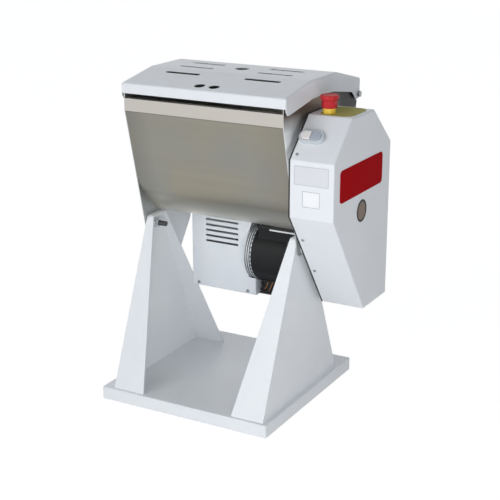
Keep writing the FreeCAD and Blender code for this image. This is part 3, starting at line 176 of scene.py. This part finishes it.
# %% Stainless steel
ALONG_X = (1 / 30, 1, 1)
stainless_sheet = surface("cold_rolled_stainless", "#9A9688", "#908C7F", patch=22, rough=(0.34, 0.46),
                          grain=1.4, relief=0.012, metallic=0.85, stretch=ALONG_X, edge=0.5)
# The end plates take a paler copy of the same stainless, a painted reflection of the bright parts around
# them.
stainless_ends = surface("cold_rolled_stainless_end", "#C2C4C4", "#B2B5B6", patch=60, rough=(0.32, 0.44),
                         grain=1.4, relief=0.012, metallic=0.85, edge=0.5)
stainless_bar = surface("drawn_stainless_bar", "#B9B7B1", "#A9A6A0", patch=15, rough=(0.24, 0.36),
                        grain=1.2, relief=0.01, metallic=1.0, edge=0.8)
print("stainless:", stainless_sheet.name, stainless_ends.name, stainless_bar.name)

# %% [markdown]
# ## Tones blended in by place
# A big sheet gets soft clouds of warm and cool grey as a painted reflection of the room, and the folded
# rim band, two sheets thick, is painted paler than the slope below it, also a painted reflection. Both are
# tied to a place, so they are blended in by position before the colour reaches the shader. A ramp along
# one axis makes a band, and the product of two ramps makes a corner.

# %% Blend a tone in by place
def blend_tone(material, tone, build_factor):
    """Puts one more mix before the base colour. The factor comes from a small chain of nodes."""
    tree = material.node_tree
    shader = next(n for n in tree.nodes if n.type == "BSDF_PRINCIPLED")
    before = shader.inputs["Base Color"].links[0].from_socket
    mix = add_node(tree, "ShaderNodeMix", {"data_type": "RGBA"}, {"Factor": build_factor(tree)})
    tree.links.new(before, colour_socket(mix.inputs, "A"))
    colour_socket(mix.inputs, "B").default_value = linear(tone)
    tree.links.new(colour_socket(mix.outputs, "Result"), shader.inputs["Base Color"])


def clouds(size, low, high, most):
    """Soft clouds of a size in millimetres, as a factor from 0 to most."""
    def build(tree):
        place = add_node(tree, "ShaderNodeTexCoord")
        noise = add_node(tree, "ShaderNodeTexNoise", {"Scale": 1 / (size * MM), "Detail": 1.0},
                         {"Vector": place.outputs["Object"]})
        return add_node(tree, "ShaderNodeMapRange",
                        {"From Min": low, "From Max": high, "To Min": 0.0, "To Max": most},
                        {"Value": noise.outputs["Fac"]}).outputs["Result"]
    return build


def ramp(axis, start, end, most=1.0):
    """A ramp along one axis between two places in millimetres, as a factor from 0 to most."""
    def build(tree):
        place = add_node(tree, "ShaderNodeTexCoord")
        parts = add_node(tree, "ShaderNodeSeparateXYZ", None, {"Vector": place.outputs["Object"]})
        return add_node(tree, "ShaderNodeMapRange",
                        {"From Min": start * MM, "From Max": end * MM, "To Min": 0.0, "To Max": most},
                        {"Value": parts.outputs[axis]}).outputs["Result"]
    return build


def both(first, second):
    """The product of two factors, so that a tone belongs to a corner."""
    def build(tree):
        return join(tree, "ShaderNodeMath", [first(tree), second(tree)], {"operation": "MULTIPLY"})
    return build


print("a tone may follow:", clouds.__name__, ramp.__name__, both.__name__)

# %% [markdown]
# ## Tones of the trough
# The sheet has clouds about half as wide as the trough, a painted reflection. It is darker toward both ends
# and painted paler where it turns under, a painted reflection of the floor, and its rim band starts at its
# real height above a thin painted shadow in the crease.

# %% Tones of the sheet
CREASE_LOW, CREASE_HIGH, BAND_LOW, BAND_HIGH = 665.5, 667.0, 667.5, 668.5
# Painted reflection of the room: soft clouds of warm and cool grey.
blend_tone(stainless_sheet, "#8B8D8B", clouds(170, 0.42, 0.66, 0.7))
blend_tone(stainless_sheet, "#73716B", ramp("X", -130, -205, 0.7))
blend_tone(stainless_sheet, "#85827A", ramp("X", 120, 205, 0.6))
# Painted reflection of the floor: paler where the sheet turns under.
blend_tone(stainless_sheet, "#DDDAD0", ramp("Z", 472, 424))
# Painted shadow in the crease under the rim band.
blend_tone(stainless_sheet, "#6F6C66", ramp("Z", CREASE_LOW, CREASE_HIGH, 0.7))
# Painted reflection: the rim band paler than the slope below it.
blend_tone(stainless_sheet, "#BFBBB4", ramp("Z", BAND_LOW, BAND_HIGH))
print("the rim band of", stainless_sheet.name, "starts at", BAND_LOW, "mm")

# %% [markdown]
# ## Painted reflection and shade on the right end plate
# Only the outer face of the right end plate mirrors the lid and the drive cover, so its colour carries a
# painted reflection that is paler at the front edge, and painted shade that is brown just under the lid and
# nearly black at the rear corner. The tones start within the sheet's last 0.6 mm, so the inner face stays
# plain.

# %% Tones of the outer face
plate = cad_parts["right_end_plate"].data
outer_face = max(vertex.co.x for vertex in plate.vertices) / MM
outside = ramp("X", outer_face - 0.6, outer_face - 0.3)
painted_shade_corner = both(ramp("Y", 60, 150), ramp("Z", 610, 660))
# Painted reflection: paler at the front edge.
blend_tone(stainless_ends, "#FAFBFB", both(outside, ramp("Y", -50, -100)))
# Painted shade: brown just under the lid, nearly black at the rear corner.
blend_tone(stainless_ends, "#5C4838", both(outside, ramp("Z", 655, 690, 0.95)))
blend_tone(stainless_ends, "#141413", both(outside, painted_shade_corner))
print("the outer face of the right end plate is at x =", round(outer_face, 1), "mm")

# %% [markdown]
# ## Machine metals
# Bought parts keep the finish of their making. Zinc plate is pale and slightly cloudy, and greyer on
# the screws. The pivot nuts and washers take a paler copy of it as a painted highlight. Blackened bolts
# are near black with worn satin highlights, cast iron is dark with a sandy grain of about a millimetre,
# and the motor's ends are cast aluminium, dull, with crests that the lathe has turned bright.

# %% Machine metals
zinc_plate = surface("zinc_plated_steel", "#ABAEB1", "#8F9397", patch=9, rough=(0.30, 0.44), grain=1.2,
                     relief=0.01, metallic=1.0, edge=0.4)
# A paler copy of zinc plate, a painted highlight on the pivot nuts, washers and the motor plate's edge.
zinc_painted_highlight = surface("zinc_plate_painted_highlight", "#E3E6E9", "#C9CDD2", patch=6, rough=(0.22, 0.36), grain=1.2,
                      relief=0.01, metallic=0.7, edge=0.3)
black_bolt = surface("blackened_bolt_steel", "#5A5B5E", "#3E3F42", patch=7, rough=(0.32, 0.48), grain=1.0,
                     relief=0.02, metallic=0.9, edge=0.4)
cast_iron = surface("painted_cast_iron", "#55585C", "#45484B", patch=16, rough=(0.50, 0.66), grain=1.6,
                    relief=0.15, metallic=0.4, edge=0.8)
cast_aluminium = surface("sand_cast_aluminium", "#8A9096", "#777D84", patch=12, rough=(0.46, 0.60),
                         grain=1.4, relief=0.06, metallic=0.5, edge=0.4)
turned_aluminium = surface("turned_aluminium", "#F3F6F9", "#E4E8EC", patch=12, rough=(0.34, 0.46),
                           grain=1.2, relief=0.02, metallic=0.3, edge=0.3)
sintered_bronze = surface("sintered_bronze", "#7A6A5C", "#5F5349", patch=6, rough=(0.36, 0.50), grain=0.9,
                          relief=0.02, metallic=0.9, edge=0.4)
print("metals:", zinc_plate.name, black_bolt.name, cast_iron.name, cast_aluminium.name, sintered_bronze.name)

# %% [markdown]
# ## Rubber and plastic
# Rubber has almost no gloss and a dusty grain. Moulded plastic takes the fine spark texture of
# its steel mould, and polished buttons come out glossier.

# %% Rubber and plastic
moulded_rubber = surface("moulded_rubber", "#2B2B2C", "#212122", patch=12, rough=(0.68, 0.84), grain=1.4,
                         relief=0.08)
black_nylon = surface("black_nylon", "#2E2F30", "#262728", patch=10, rough=(0.42, 0.56), grain=1.0,
                      relief=0.04)
grey_nylon = surface("grey_nylon", "#6C6F73", "#606367", patch=12, rough=(0.45, 0.58), grain=1.1,
                     relief=0.04)
housing_plastic = surface("grey_abs_housing", "#CDD2D7", "#C2C8CE", patch=14, rough=(0.34, 0.46),
                          grain=0.9, relief=0.03, edge=0.8)
white_button = surface("white_abs_button", "#FAF6F4", "#F2EEEB", patch=10, rough=(0.24, 0.34), grain=0.9,
                       relief=0.02)
blue_grey_button = surface("blue_grey_abs_button", "#B4BCC6", "#A7B0BB", patch=10, rough=(0.24, 0.34),
                           grain=0.9, relief=0.02)
yellow_plastic = surface("yellow_polycarbonate", "#FFDF60", "#FFD54A", patch=10, rough=(0.34, 0.44),
                         grain=0.9, relief=0.02, socket_values={"Specular IOR Level": 0.2})
red_plastic = surface("red_polycarbonate", "#D4393E", "#C22E34", patch=10, rough=(0.34, 0.46), grain=0.9,
                      relief=0.02, edge=0.8, socket_values={"Specular IOR Level": 0.15})
orange_sleeve = surface("orange_wire_sleeve", "#A8764A", "#94633A", patch=8, rough=(0.40, 0.52), grain=0.9,
                        relief=0.02)
print("moulded:", moulded_rubber.name, black_nylon.name, housing_plastic.name, red_plastic.name)

# %% [markdown]
# ## Printed film
# The labels are thin printed film, flat and evenly satin; here they are plain colour fields. Both
# front labels are one solid, so their two tones are told apart by height.

# %% Printed film
def film(name, pale, dark, patch, mirror=0.03):
    """A flat film. Mirror is the strength of its reflection, far below that of moulded plastic."""
    return surface(name, pale, dark, patch=patch, rough=(0.42, 0.52), grain=1.2, relief=0.01,
                   socket_values={"Specular IOR Level": mirror})


LABEL_GAP = 542
yellow_film = film("yellow_printed_film", "#C3BC6E", "#A89F3F", 9)
red_film = film("red_printed_film", "#B8040F", "#AE030D", 25, 0.01)
white_film = film("white_printed_film", "#FCFCFD", "#F4F5F7", 20)
pale_grey_film = film("pale_grey_printed_film", "#BEC3C9", "#B4B9C0", 20)
grey_film = film("grey_printed_film", "#7C8288", "#71777E", 20)
blend_tone(white_film, "#E3E3E8", ramp("Z", LABEL_GAP, LABEL_GAP + 1))
print("the label above", LABEL_GAP, "mm is greyer; finishes in all:", len(bpy.data.materials))

# %% [markdown]
# ## Giving the solids their finishes
# Each solid that already has the right shape keeps it and only takes a new finish. A list by
# finish is easier to check than a list by solid, and the script stops if one is left out.

# %% Dress the solids
dressed = {
    powder_coat: ["base_pan", "left_stand", "right_stand", "left_carrier_plate", "drive_plate",
                  "drive_cover", "lid"],
    fan_box_paint: ["fan_box"],
    # The motor plate takes the black enamel as painted shade.
    motor_enamel: ["motor_frame", "motor_plate"],
    stainless_sheet: ["trough_shell"],
    stainless_ends: ["left_end_plate", "right_end_plate"],
    stainless_bar: ["main_shaft", "mixing_arm"],
    zinc_plate: ["cover_screws", "box_screws", "gear_nut", "pinion", "countershaft", "motor_shaft",
                 "bearing_bridge", "lid_pins"],
    zinc_painted_highlight: ["pivot_washers", "pivot_nuts"],
    black_bolt: ["pivot_bolts", "stop_pins", "bridge_posts"],
    cast_iron: ["shaft_bearings", "counter_bearings", "main_gear", "large_pulley", "motor_pulley"],
    cast_aluminium: ["motor_front_bell", "motor_rear_bell"],
    sintered_bronze: ["pivot_bushes", "side_disc"],
    moulded_rubber: ["base_feet", "stop_sleeves", "shaft_seals", "drive_belt"],
    black_nylon: ["cord_gland", "cooling_fan"],
    grey_nylon: ["lead_tray", "run_capacitor"],
    housing_plastic: ["switch_housing"],
    white_button: ["start_button"],
    blue_grey_button: ["stop_button"],
    yellow_plastic: ["estop_base"],
    red_plastic: ["estop_head"],
    yellow_film: ["estop_legend"],
    red_film: ["side_badge"],
    white_film: ["front_labels"],
}
for material, names in dressed.items():
    for name in names:
        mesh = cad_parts[name].data
        mesh.materials.clear()
        mesh.materials.append(material)
left_out = set(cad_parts) - {name for names in dressed.values() for name in names}
assert not left_out, left_out
print("solids with a finish:", len(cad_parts) - len(left_out))

# %% [markdown]
# ## Outlines by angle
# Knobs, screws and nuts are turned or pressed round, so each is a profile turned about an axis. A
# radius in the profile may be a function of the angle instead of a number, and then the same lathe
# also makes hexagons, facets, grip grooves, a cross recess and teeth.

# %% Outlines by angle
def regular(flats, sides):
    """Gives the radius of a polygon with this distance across flats, by angle."""
    step = 2 * math.pi / sides
    return lambda angle: flats / 2 / math.cos((angle + step / 2) % step - step / 2)


def cross(reach, width):
    """Gives the radius of a cross recess by angle, with arms of this reach and width."""
    least = 1e-6

    def radius(angle):
        c, s = max(abs(math.cos(angle)), least), max(abs(math.sin(angle)), least)
        return max(min(reach / c, width / 2 / s), min(reach / s, width / 2 / c))
    return radius


def grooved(radius, deep=0.9, count=12):
    """A round outline with narrow finger grooves."""
    return lambda angle: radius - deep * (0.5 + 0.5 * math.cos(count * angle)) ** 6


def toothed(high, low, count=40, share=0.6):
    """A round outline with gaps cut in it at even steps."""
    return lambda angle: high if angle * count / (2 * math.pi) % 1 < share else low


print("a 19 mm hexagon is", round(2 * regular(19, 6)(math.pi / 6), 2), "mm across its corners")

# %% [markdown]
# ## A lathe and a strip
# The lathe turns a profile about an axis. The strip follows a bent line, for the painted highlight on the
# motor plate's edge and the painted shade in the cover's gap.
# Faces are smooth, and only the edges that a tool leaves sharp stay crisp.

# %% Lathe, strip and finishing
CRISP = math.radians(32)


def turn_profile(mesh, profile, origin, axis, sides=48, ring=False):
    """Turns (radius, height) pairs in millimetres about an axis. A ring is closed on itself."""
    turn = Vector(axis).to_track_quat("Z", "Y")
    rows = []
    for radius, height in profile:
        row = []
        for step in range(sides):
            angle = 2 * math.pi * step / sides
            reach = radius(angle) if callable(radius) else radius
            local = Vector((reach * math.cos(angle), reach * math.sin(angle), height))
            row.append(mesh.verts.new((Vector(origin) + turn @ local) * MM))
        rows.append(row)
    pairs = list(zip(rows, rows[1:])) + ([(rows[-1], rows[0])] if ring else [])
    for low, high in pairs:
        for step in range(sides):
            after = (step + 1) % sides
            mesh.faces.new((low[step], low[after], high[after], high[step]))
    if not ring:
        mesh.faces.new(rows[0])
        mesh.faces.new(rows[-1])


def bent_strip(mesh, line, x0, x1, under, proud):
    """A strip from x0 to x1 along a bent line of (y, z) points, from under it to proud of it."""
    rows = []
    for index, here in enumerate(line):
        legs = [(Vector(b) - Vector(a)).normalized() for a, b in zip(line, line[1:])]
        legs = legs[max(index - 1, 0):index + 1]
        outward = [Vector((-leg.y, leg.x)) for leg in legs]
        miter = sum(outward, Vector((0, 0))).normalized()
        miter /= miter.dot(outward[0])
        near, far = Vector(here) - miter * under, Vector(here) + miter * proud
        corners = [(x0, *near), (x1, *near), (x1, *far), (x0, *far)]
        rows.append([mesh.verts.new(Vector(c) * MM) for c in corners])
    for low, high in zip(rows, rows[1:]):
        for side in range(4):
            after = (side + 1) % 4
            mesh.faces.new((low[side], low[after], high[after], high[side]))
    mesh.faces.new(rows[0])
    mesh.faces.new(rows[-1])


def finish_piece(name, mesh, material, body, stands_for=()):
    """Makes the object, smooths it up to the crisp edges, and hands it to its body."""
    bmesh.ops.recalc_face_normals(mesh, faces=mesh.faces)
    for face in mesh.faces:
        face.smooth = True
    for edge in mesh.edges:
        edge.smooth = len(edge.link_faces) == 2 and edge.calc_face_angle() < CRISP
    data = bpy.data.meshes.new(name)
    mesh.to_mesh(data)
    mesh.free()
    data.materials.append(material)
    piece = bpy.data.objects.new(name, data)
    bpy.context.scene.collection.objects.link(piece)
    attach(piece, body)
    if stands_for:
        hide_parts(*stands_for)
    print(name, "has", len(data.polygons), "faces and rides on", body)


print("edges sharper than", round(math.degrees(CRISP)), "degrees stay crisp")

# %% [markdown]
# ## Emergency-stop head
# The head is moulded in red plastic: a faceted neck, and a flared crown with finger grooves and a
# slightly dished top. It is hollow below, because it slides down over the yellow collar. One
# profile makes all of it, the neck with eight flats and the crown with twelve grooves.

# %% Emergency-stop head
HEAD_X, HEAD_Y, COVER_TOP = 250.8, -4.0, 682.0
neck = regular(31.2, 8)
hollow = [(4.0, 3.5), (4.0, 21.0), (14.7, 21.0), (14.7, 12.2), (15.2, 12.0)]
crown = [(17.4, 29.6), (grooved(19.2), 31.2), (grooved(20.1), 32.4), (grooved(20.1), 37.4),
         (grooved(19.6), 38.9), (18.4, 39.9), (17.0, 40.0), (16.0, 39.4), (15.0, 39.0), (0.6, 39.4)]
head = bmesh.new()
turn_profile(head, hollow + [(neck, 13.0), (neck, 28.0)] + crown, (HEAD_X, HEAD_Y, COVER_TOP), (0, 0, 1),
             sides=96)
finish_piece("estop_grip_head", head, red_plastic, "estop", ["estop_head"])

# %% [markdown]
# ## Screws of the fan box
# The fan box and the drive cover are held by pan-head screws with a cross recess. The head is a
# low dome, and the recess is the same lathe profile going down again inside a cross outline.

# %% Pan heads on the fan box
BOX_FACE_Y, BOX_SCREW_Z = 55.0, 223.0


def pan_head(mesh, place, axis, radius, height):
    """A low domed head with a cross recess, standing on a face."""
    arms = cross(0.56 * radius, 0.3 * radius)
    profile = [(radius, 0), (radius, 0.45 * height), (0.9 * radius, 0.78 * height),
               (0.72 * radius, height), (arms, height), (arms, 0.35 * height)]
    turn_profile(mesh, profile, place, axis, sides=64)


screws = bmesh.new()
for x in (-116.5, 19.0):
    pan_head(screws, (x, BOX_FACE_Y, BOX_SCREW_Z), (0, -1, 0), 4.0, 2.0)
finish_piece("box_pan_screws", screws, zinc_plate, "trough_unit", ["box_screws"])

# %% [markdown]
# ## Screws of the drive cover
# These stand on the cover's narrow front, which is bent into three legs, so each is placed by its
# leg and its share of that leg's length.

# %% Pan heads on the drive cover
FRONT_LINE = [(-30.5, COVER_TOP), (-116.0, 599.5), (-116.0, 476.0), (55.5, 231.0)]
COVER_SCREW_X = 226.5


def on_leg(leg, share):
    """A point on one leg of the cover's front line, and the leg's outward direction."""
    a, b = Vector(FRONT_LINE[leg]), Vector(FRONT_LINE[leg + 1])
    spot, way = a.lerp(b, share), (b - a).normalized()
    return (COVER_SCREW_X, spot.x, spot.y), (0, way.y, -way.x)


screws = bmesh.new()
for leg, share in ((0, 0.87), (2, 0.25), (2, 0.61)):
    pan_head(screws, *on_leg(leg, share), 3.5, 2.2)
finish_piece("cover_pan_screws", screws, zinc_plate, "trough_unit", ["cover_screws"])

# %% [markdown]
# ## Pivot bolts
# The trough unit hangs on one bolt a side. Its hexagon head is outside, and inside the stand are a
# zinc washer, a nut and the blackened end of the thread. The thread's pitch is 1.75 mm and is
# drawn as rings, which look the same as a helix from any distance here.

# %% Bolts and nuts
PIVOT_Y, PIVOT_Z = -30.0, 386.0
FLATS, SHANK, ROOT, PITCH, NUT_HEIGHT, FREE_END = 19.0, 6.0, 5.2, 1.75, 10.0, 20.0
hexagon = regular(FLATS, 6)
bolt_head = [(8.6, -7.5), (9.4, -7.1), (hexagon, -6.4), (hexagon, 0.0)]
nut = [(9.4, 0.0), (hexagon, 0.7), (hexagon, 9.2), (9.4, NUT_HEIGHT), (6.6, NUT_HEIGHT), (6.1, 9.4),
       (6.1, 0.0)]
bolts, nuts = bmesh.new(), bmesh.new()
for side, head_face, nut_seat in ((-1, -194.8, -181.0), (1, 214.8, 199.0)):
    inward = (-side, 0, 0)
    start = abs(head_face - nut_seat) + NUT_HEIGHT
    thread = [(SHANK if ridge % 2 else ROOT, start + ridge * PITCH / 2) for ridge in range(22)]
    profile = bolt_head + [(SHANK, 0.0), (SHANK, start)] + thread + [(4.6, start + FREE_END)]
    turn_profile(bolts, profile, (head_face, PIVOT_Y, PIVOT_Z), inward)
    turn_profile(nuts, nut, (nut_seat, PIVOT_Y, PIVOT_Z), inward, ring=True)
finish_piece("threaded_pivot_bolts", bolts, black_bolt, "stand", ["pivot_bolts"])
finish_piece("chamfered_pivot_nuts", nuts, zinc_painted_highlight, "stand", ["pivot_nuts"])

# %% [markdown]
# ## Motor end
# The turned end of the motor has bright hoops with shadow between them, the last one with gaps for
# the cooling air. Bright hoops are laid over its crests, and its body keeps a darker cast skin.

# %% Bright hoops on the bell
MOTOR_Y, MOTOR_Z, LAST_CREST = 100.0, 315.0, 36.9
hoop = [(67.8, 0.0), (69.5, 0.3), (69.9, 1.2), (69.5, 2.1), (67.8, 2.5)]
gapped_hoop = [(toothed(68.0, 66.0), 0.0), (toothed(69.9, 67.0), 0.4), (toothed(69.9, 67.0), 2.1),
               (toothed(68.0, 66.0), 2.5)]
hoops = bmesh.new()
for crest in (20.7, 26.0, 31.5):
    turn_profile(hoops, hoop, (crest, MOTOR_Y, MOTOR_Z), (1, 0, 0), sides=128, ring=True)
turn_profile(hoops, gapped_hoop, (LAST_CREST, MOTOR_Y, MOTOR_Z), (1, 0, 0), sides=400, ring=True)
finish_piece("bell_hoops", hoops, turned_aluminium, "trough_unit")

# %% [markdown]
# ## Motor leads
# The motor's short leads leave below it through a rubber boot and go into the fan box: they are
# fixed at both ends and a few centimetres long.

# %% Boots
BOOT_Y, BOOT_FOOT_Z = 96.0, 217.0
boot_profile = [(regular(37, 4), 0.0), (regular(38, 4), 1.0), (regular(38, 4), 25.0),
                (regular(34, 4), 29.0), (regular(31, 4), 33.0)]
boots = bmesh.new()
for x in (64.0, 103.0):
    turn_profile(boots, boot_profile, (x, BOOT_Y, BOOT_FOOT_Z), (0, 0, 1), sides=64)
finish_piece("lead_boots", boots, moulded_rubber, "trough_unit")

# %% [markdown]
# ## Curves for the leads
# Each lead is a smooth curve, drawn toward a few points and thickened to a round wire.

# %% Leads
def lead(name, material, routes, thickness):
    """Short insulated wires as one curve, each route a list of points in millimetres."""
    line = bpy.data.curves.new(name, "CURVE")
    line.dimensions = "3D"
    line.bevel_depth = thickness / 2 * MM
    line.bevel_resolution = 4
    line.use_fill_caps = True
    for route in routes:
        run = line.splines.new("NURBS")
        run.points.add(len(route) - 1)
        for point, (x, y, z) in zip(run.points, route):
            point.co = (x * MM, y * MM, z * MM, 1)
        run.order_u = 3
        run.use_endpoint_u = True
    line.materials.append(material)
    wire = bpy.data.objects.new(name, line)
    bpy.context.scene.collection.objects.link(wire)
    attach(wire, "trough_unit")
    print(name, "has", len(routes), "wires")


lead("orange_leads", orange_sleeve,
     [[(48, 84, 226), (54, 74, 226), (60, 70, 234), (64, 76, 246)],
      [(62, 82, 222), (68, 72, 226), (73, 69, 236), (76, 75, 248)],
      [(56, 84, 221), (64, 74, 222), (70, 71, 229), (72, 80, 243)]], thickness=2.2)
lead("black_leads", moulded_rubber,
     [[(41, 82, 240), (50, 74, 240), (57, 73, 230), (60, 82, 222)],
      [(41, 78, 226), (52, 73, 221), (66, 70, 224), (80, 78, 247)]], thickness=3.4)

# %% [markdown]
# ## Painted highlight on the motor plate and painted shade at the cover
# The motor's plate takes the black enamel as painted shade, and a pale bar along its folded front edge is a
# painted highlight. Between the drive plate's flange and the edge of the cover lies a black strip in the
# rubber finish, painted shade in the gap that reads as a thin dark line.

# %% Painted highlight and painted shade
edge_line = [(30.4, 388.8), (29.6, 389.2), (29.6, 391.6), (30.4, 392.1)]
highlight_bar, gap_shade_strip = bmesh.new(), bmesh.new()
bent_strip(highlight_bar, edge_line, 90.0, 207.0, under=0.0, proud=0.6)
# A black strip as painted shade in the gap between the drive plate and the cover.
bent_strip(gap_shade_strip, FRONT_LINE[::-1], 212.6, 216.0, under=2.2, proud=0.2)
finish_piece("plate_edge_painted_highlight", highlight_bar, zinc_painted_highlight, "trough_unit")
finish_piece("cover_gap_painted_shade", gap_shade_strip, moulded_rubber, "trough_unit")

# %% [markdown]
# ## Round plate
# The round plate on the cover has a raised dark rim and a dull field with one fine ring.

# %% Round plate
DISC_PLACE = (317.5, 29.0, 468.0)
rim_profile = [(20.0, 0.0), (25.0, 0.0), (25.0, 0.7), (24.5, 1.0), (20.6, 1.0), (20.0, 0.7)]
field_profile = [(20.0, 0.0), (20.0, 0.55), (16.2, 0.55), (15.8, 0.85), (14.6, 0.85), (14.2, 0.55),
                 (0.5, 0.6)]
rim, field = bmesh.new(), bmesh.new()
turn_profile(rim, rim_profile, DISC_PLACE, (1, 0, 0), sides=96, ring=True)
turn_profile(field, field_profile, DISC_PLACE, (1, 0, 0), sides=96)
finish_piece("round_plate_rim", rim, motor_enamel, "trough_unit", ["side_disc"])
finish_piece("round_plate_field", field, sintered_bronze, "trough_unit", ["side_disc"])

# %% [markdown]
# ## Label borders
# Each blank label has a printed grey border, 0.7 mm wide, drawn as a frame just proud of it. A
# frame is four loops: outer and inner, each at the back and at the front.

# %% Label borders
LABEL_Y, PRINT_Y = -116.4, -116.46


def rounded_loop(mesh, x0, z0, x1, z1, inset, depth, corner=2.0, steps=6):
    """One loop of points in from the edge of a label with round corners, at a depth."""
    loop = []
    reach = max(corner - inset, 0.2)
    back = max(corner, inset)
    for cx, cz, start in ((x1, z1, 0), (x0, z1, 90), (x0, z0, 180), (x1, z0, 270)):
        sx, sz = (1 if cx == x1 else -1), (1 if cz == z1 else -1)
        for step in range(steps + 1):
            angle = math.radians(start + 90 * step / steps)
            x = cx - sx * back + reach * math.cos(angle)
            z = cz - sz * back + reach * math.sin(angle)
            loop.append(mesh.verts.new(Vector((x, depth, z)) * MM))
    return loop


def border(mesh, x0, z0, x1, z1, inset=0.9, width=0.7):
    """A thin printed frame just proud of a label that faces the front."""
    loops = [rounded_loop(mesh, x0, z0, x1, z1, inset + shift, depth)
             for shift, depth in ((0, LABEL_Y), (0, PRINT_Y), (width, PRINT_Y), (width, LABEL_Y))]
    for low, high in zip(loops, loops[1:] + loops[:1]):
        for step in range(len(low)):
            after = (step + 1) % len(low)
            mesh.faces.new((low[step], low[after], high[after], high[step]))


upper, lower = bmesh.new(), bmesh.new()
border(upper, 225.0, 548.0, 306.0, 590.0)
border(lower, 244.5, 501.0, 286.5, 537.0)
finish_piece("upper_label_border", upper, pale_grey_film, "trough_unit")
finish_piece("lower_label_border", lower, grey_film, "trough_unit")

# %% [markdown]
# ## Cord gland
# The mains lead enters through a gland low on the back of the drive cover. It has a hexagonal
# clamping nut with a ribbed dome, and an open throat, because no lead is fitted here.

# %% Cord gland
GLAND_PLACE, THROAT = (266.75, 183.0, 270.0), 5.0
ribbed, clamp = grooved(9.4, 0.6, 16), regular(19.0, 6)
stem = [(THROAT, -8.0), (8.8, -8.0), (8.8, 0.0), (10.7, 0.0), (clamp, 0.8), (clamp, 5.6), (9.4, 6.2)]
dome = [(ribbed, 7.2), (ribbed, 13.0), (8.4, 15.6), (7.0, 17.6), (5.6, 18.0), (THROAT, 17.2)]
gland = bmesh.new()
turn_profile(gland, stem + dome, GLAND_PLACE, (0, 1, 0), sides=96, ring=True)
finish_piece("ribbed_cord_gland", gland, black_nylon, "trough_unit", ["cord_gland"])

# %% [markdown]
# ## Floor
# The floor looks nearly white to the camera and to mirrors and keeps a soft shadow, but it gives
# the mixer only the ordinary light of pale paper. A factor that is 1 for the rays of the camera
# and of mirrors, and 0 for all others, chooses between the two.

# %% Floor
FLOOR_SIZE, FLOOR_GLOW = 16.0, 0.91


def seen_rays(tree):
    """A factor of 1 for what the camera and mirrors see, and 0 for what lights the mixer."""
    rays = add_node(tree, "ShaderNodeLightPath")
    return join(tree, "ShaderNodeMath", [rays.outputs["Is Camera Ray"], rays.outputs["Is Glossy Ray"]],
                {"operation": "MAXIMUM"})


sheet = bmesh.new()
bmesh.ops.create_grid(sheet, x_segments=1, y_segments=1, size=FLOOR_SIZE / 2)
floor = bpy.data.objects.new("floor", bpy.data.meshes.new("floor"))
sheet.to_mesh(floor.data)
sheet.free()
bpy.context.scene.collection.objects.link(floor)

floor_paper = bpy.data.materials.new("pale_paper_floor")
floor_paper.use_nodes = True
paper = floor_paper.node_tree
paper.nodes.clear()
plain = add_node(paper, "ShaderNodeBsdfDiffuse", {"Color": linear("#F0F0F0")})
shaded = add_node(paper, "ShaderNodeBsdfDiffuse", {"Color": linear("#868686")})
glow = add_node(paper, "ShaderNodeEmission", {"Color": linear("#FFFFFF"), "Strength": FLOOR_GLOW})
bright = join(paper, "ShaderNodeAddShader", [shaded.outputs["BSDF"], glow.outputs["Emission"]])
mixed = join(paper, "ShaderNodeMixShader", [seen_rays(paper), plain.outputs["BSDF"], bright])
add_node(paper, "ShaderNodeOutputMaterial", None, {"Surface": mixed})
floor.data.materials.append(floor_paper)
print("floor:", FLOOR_SIZE, "m across")

# %% [markdown]
# ## Room
# The room looks white to the camera and to mirrors. Its light on the mixer is weaker from the
# right, which lets the right sides fall a third darker, and much weaker from straight above.

# %% Room
room = bpy.data.worlds.new("studio_room")
bpy.context.scene.world = room
room.use_nodes = True
air = room.node_tree
air.nodes.clear()
direction = add_node(air, "ShaderNodeTexCoord")
aim = add_node(air, "ShaderNodeSeparateXYZ", None, {"Vector": direction.outputs["Generated"]})
upward = add_node(air, "ShaderNodeMapRange",
                  {"From Min": 0.45, "From Max": 1.0, "To Min": 0.92, "To Max": 0.06},
                  {"Value": aim.outputs["Z"]})
sideways = add_node(air, "ShaderNodeMapRange",
                    {"From Min": 0.0, "From Max": 0.9, "To Min": 1.0, "To Max": 0.34},
                    {"Value": aim.outputs["X"]})
strength = join(air, "ShaderNodeMath", [upward.outputs["Result"], sideways.outputs["Result"]],
                {"operation": "MULTIPLY"})
fill = add_node(air, "ShaderNodeBackground", {"Color": linear("#E9EEF5")}, {"Strength": strength})
white = add_node(air, "ShaderNodeBackground", {"Color": linear("#FFFFFF"), "Strength": 1.0})
chosen = join(air, "ShaderNodeMixShader",
              [seen_rays(air), fill.outputs["Background"], white.outputs["Background"]])
add_node(air, "ShaderNodeOutputWorld", None, {"Surface": chosen})
print("room:", room.name)

# %% [markdown]
# ## Lamps
# A product picture is lit by large soft sources: one big panel in front to the left and a low
# one to the right give the front faces their brightness, a card by the floor reaches in under the
# trough, and a faint panel above touches the lid.

# %% Lamps
def soft_panel(name, place, target, size, power):
    """A square lamp in metres and watts that faces a point."""
    lamp = bpy.data.objects.new(name, bpy.data.lights.new(name, "AREA"))
    lamp.data.size = size
    lamp.data.energy = power
    lamp.location = place
    lamp.rotation_euler = (Vector(target) - Vector(place)).to_track_quat("-Z", "Y").to_euler()
    bpy.context.scene.collection.objects.link(lamp)
    print(name, "gives", power, "watts")


soft_panel("key_panel", (-0.9, -3.2, 2.0), (0, 0, 0.35), size=2.4, power=28)
soft_panel("top_panel", (-0.3, -0.4, 3.6), (0, 0, 0.4), size=2.6, power=1)
soft_panel("low_panel", (1.2, -1.8, 0.22), (-0.15, 0.1, 0.15), size=1.0, power=13)
soft_panel("floor_card", (0.9, -0.95, 0.04), (-0.05, 0, 0.15), size=0.5, power=2.0)
bpy.context.scene.view_settings.view_transform = "Standard"

# %% [markdown]
# ## Last step
# The view layer is brought up to date.

# %% Update the view layer
bpy.context.view_layer.update()
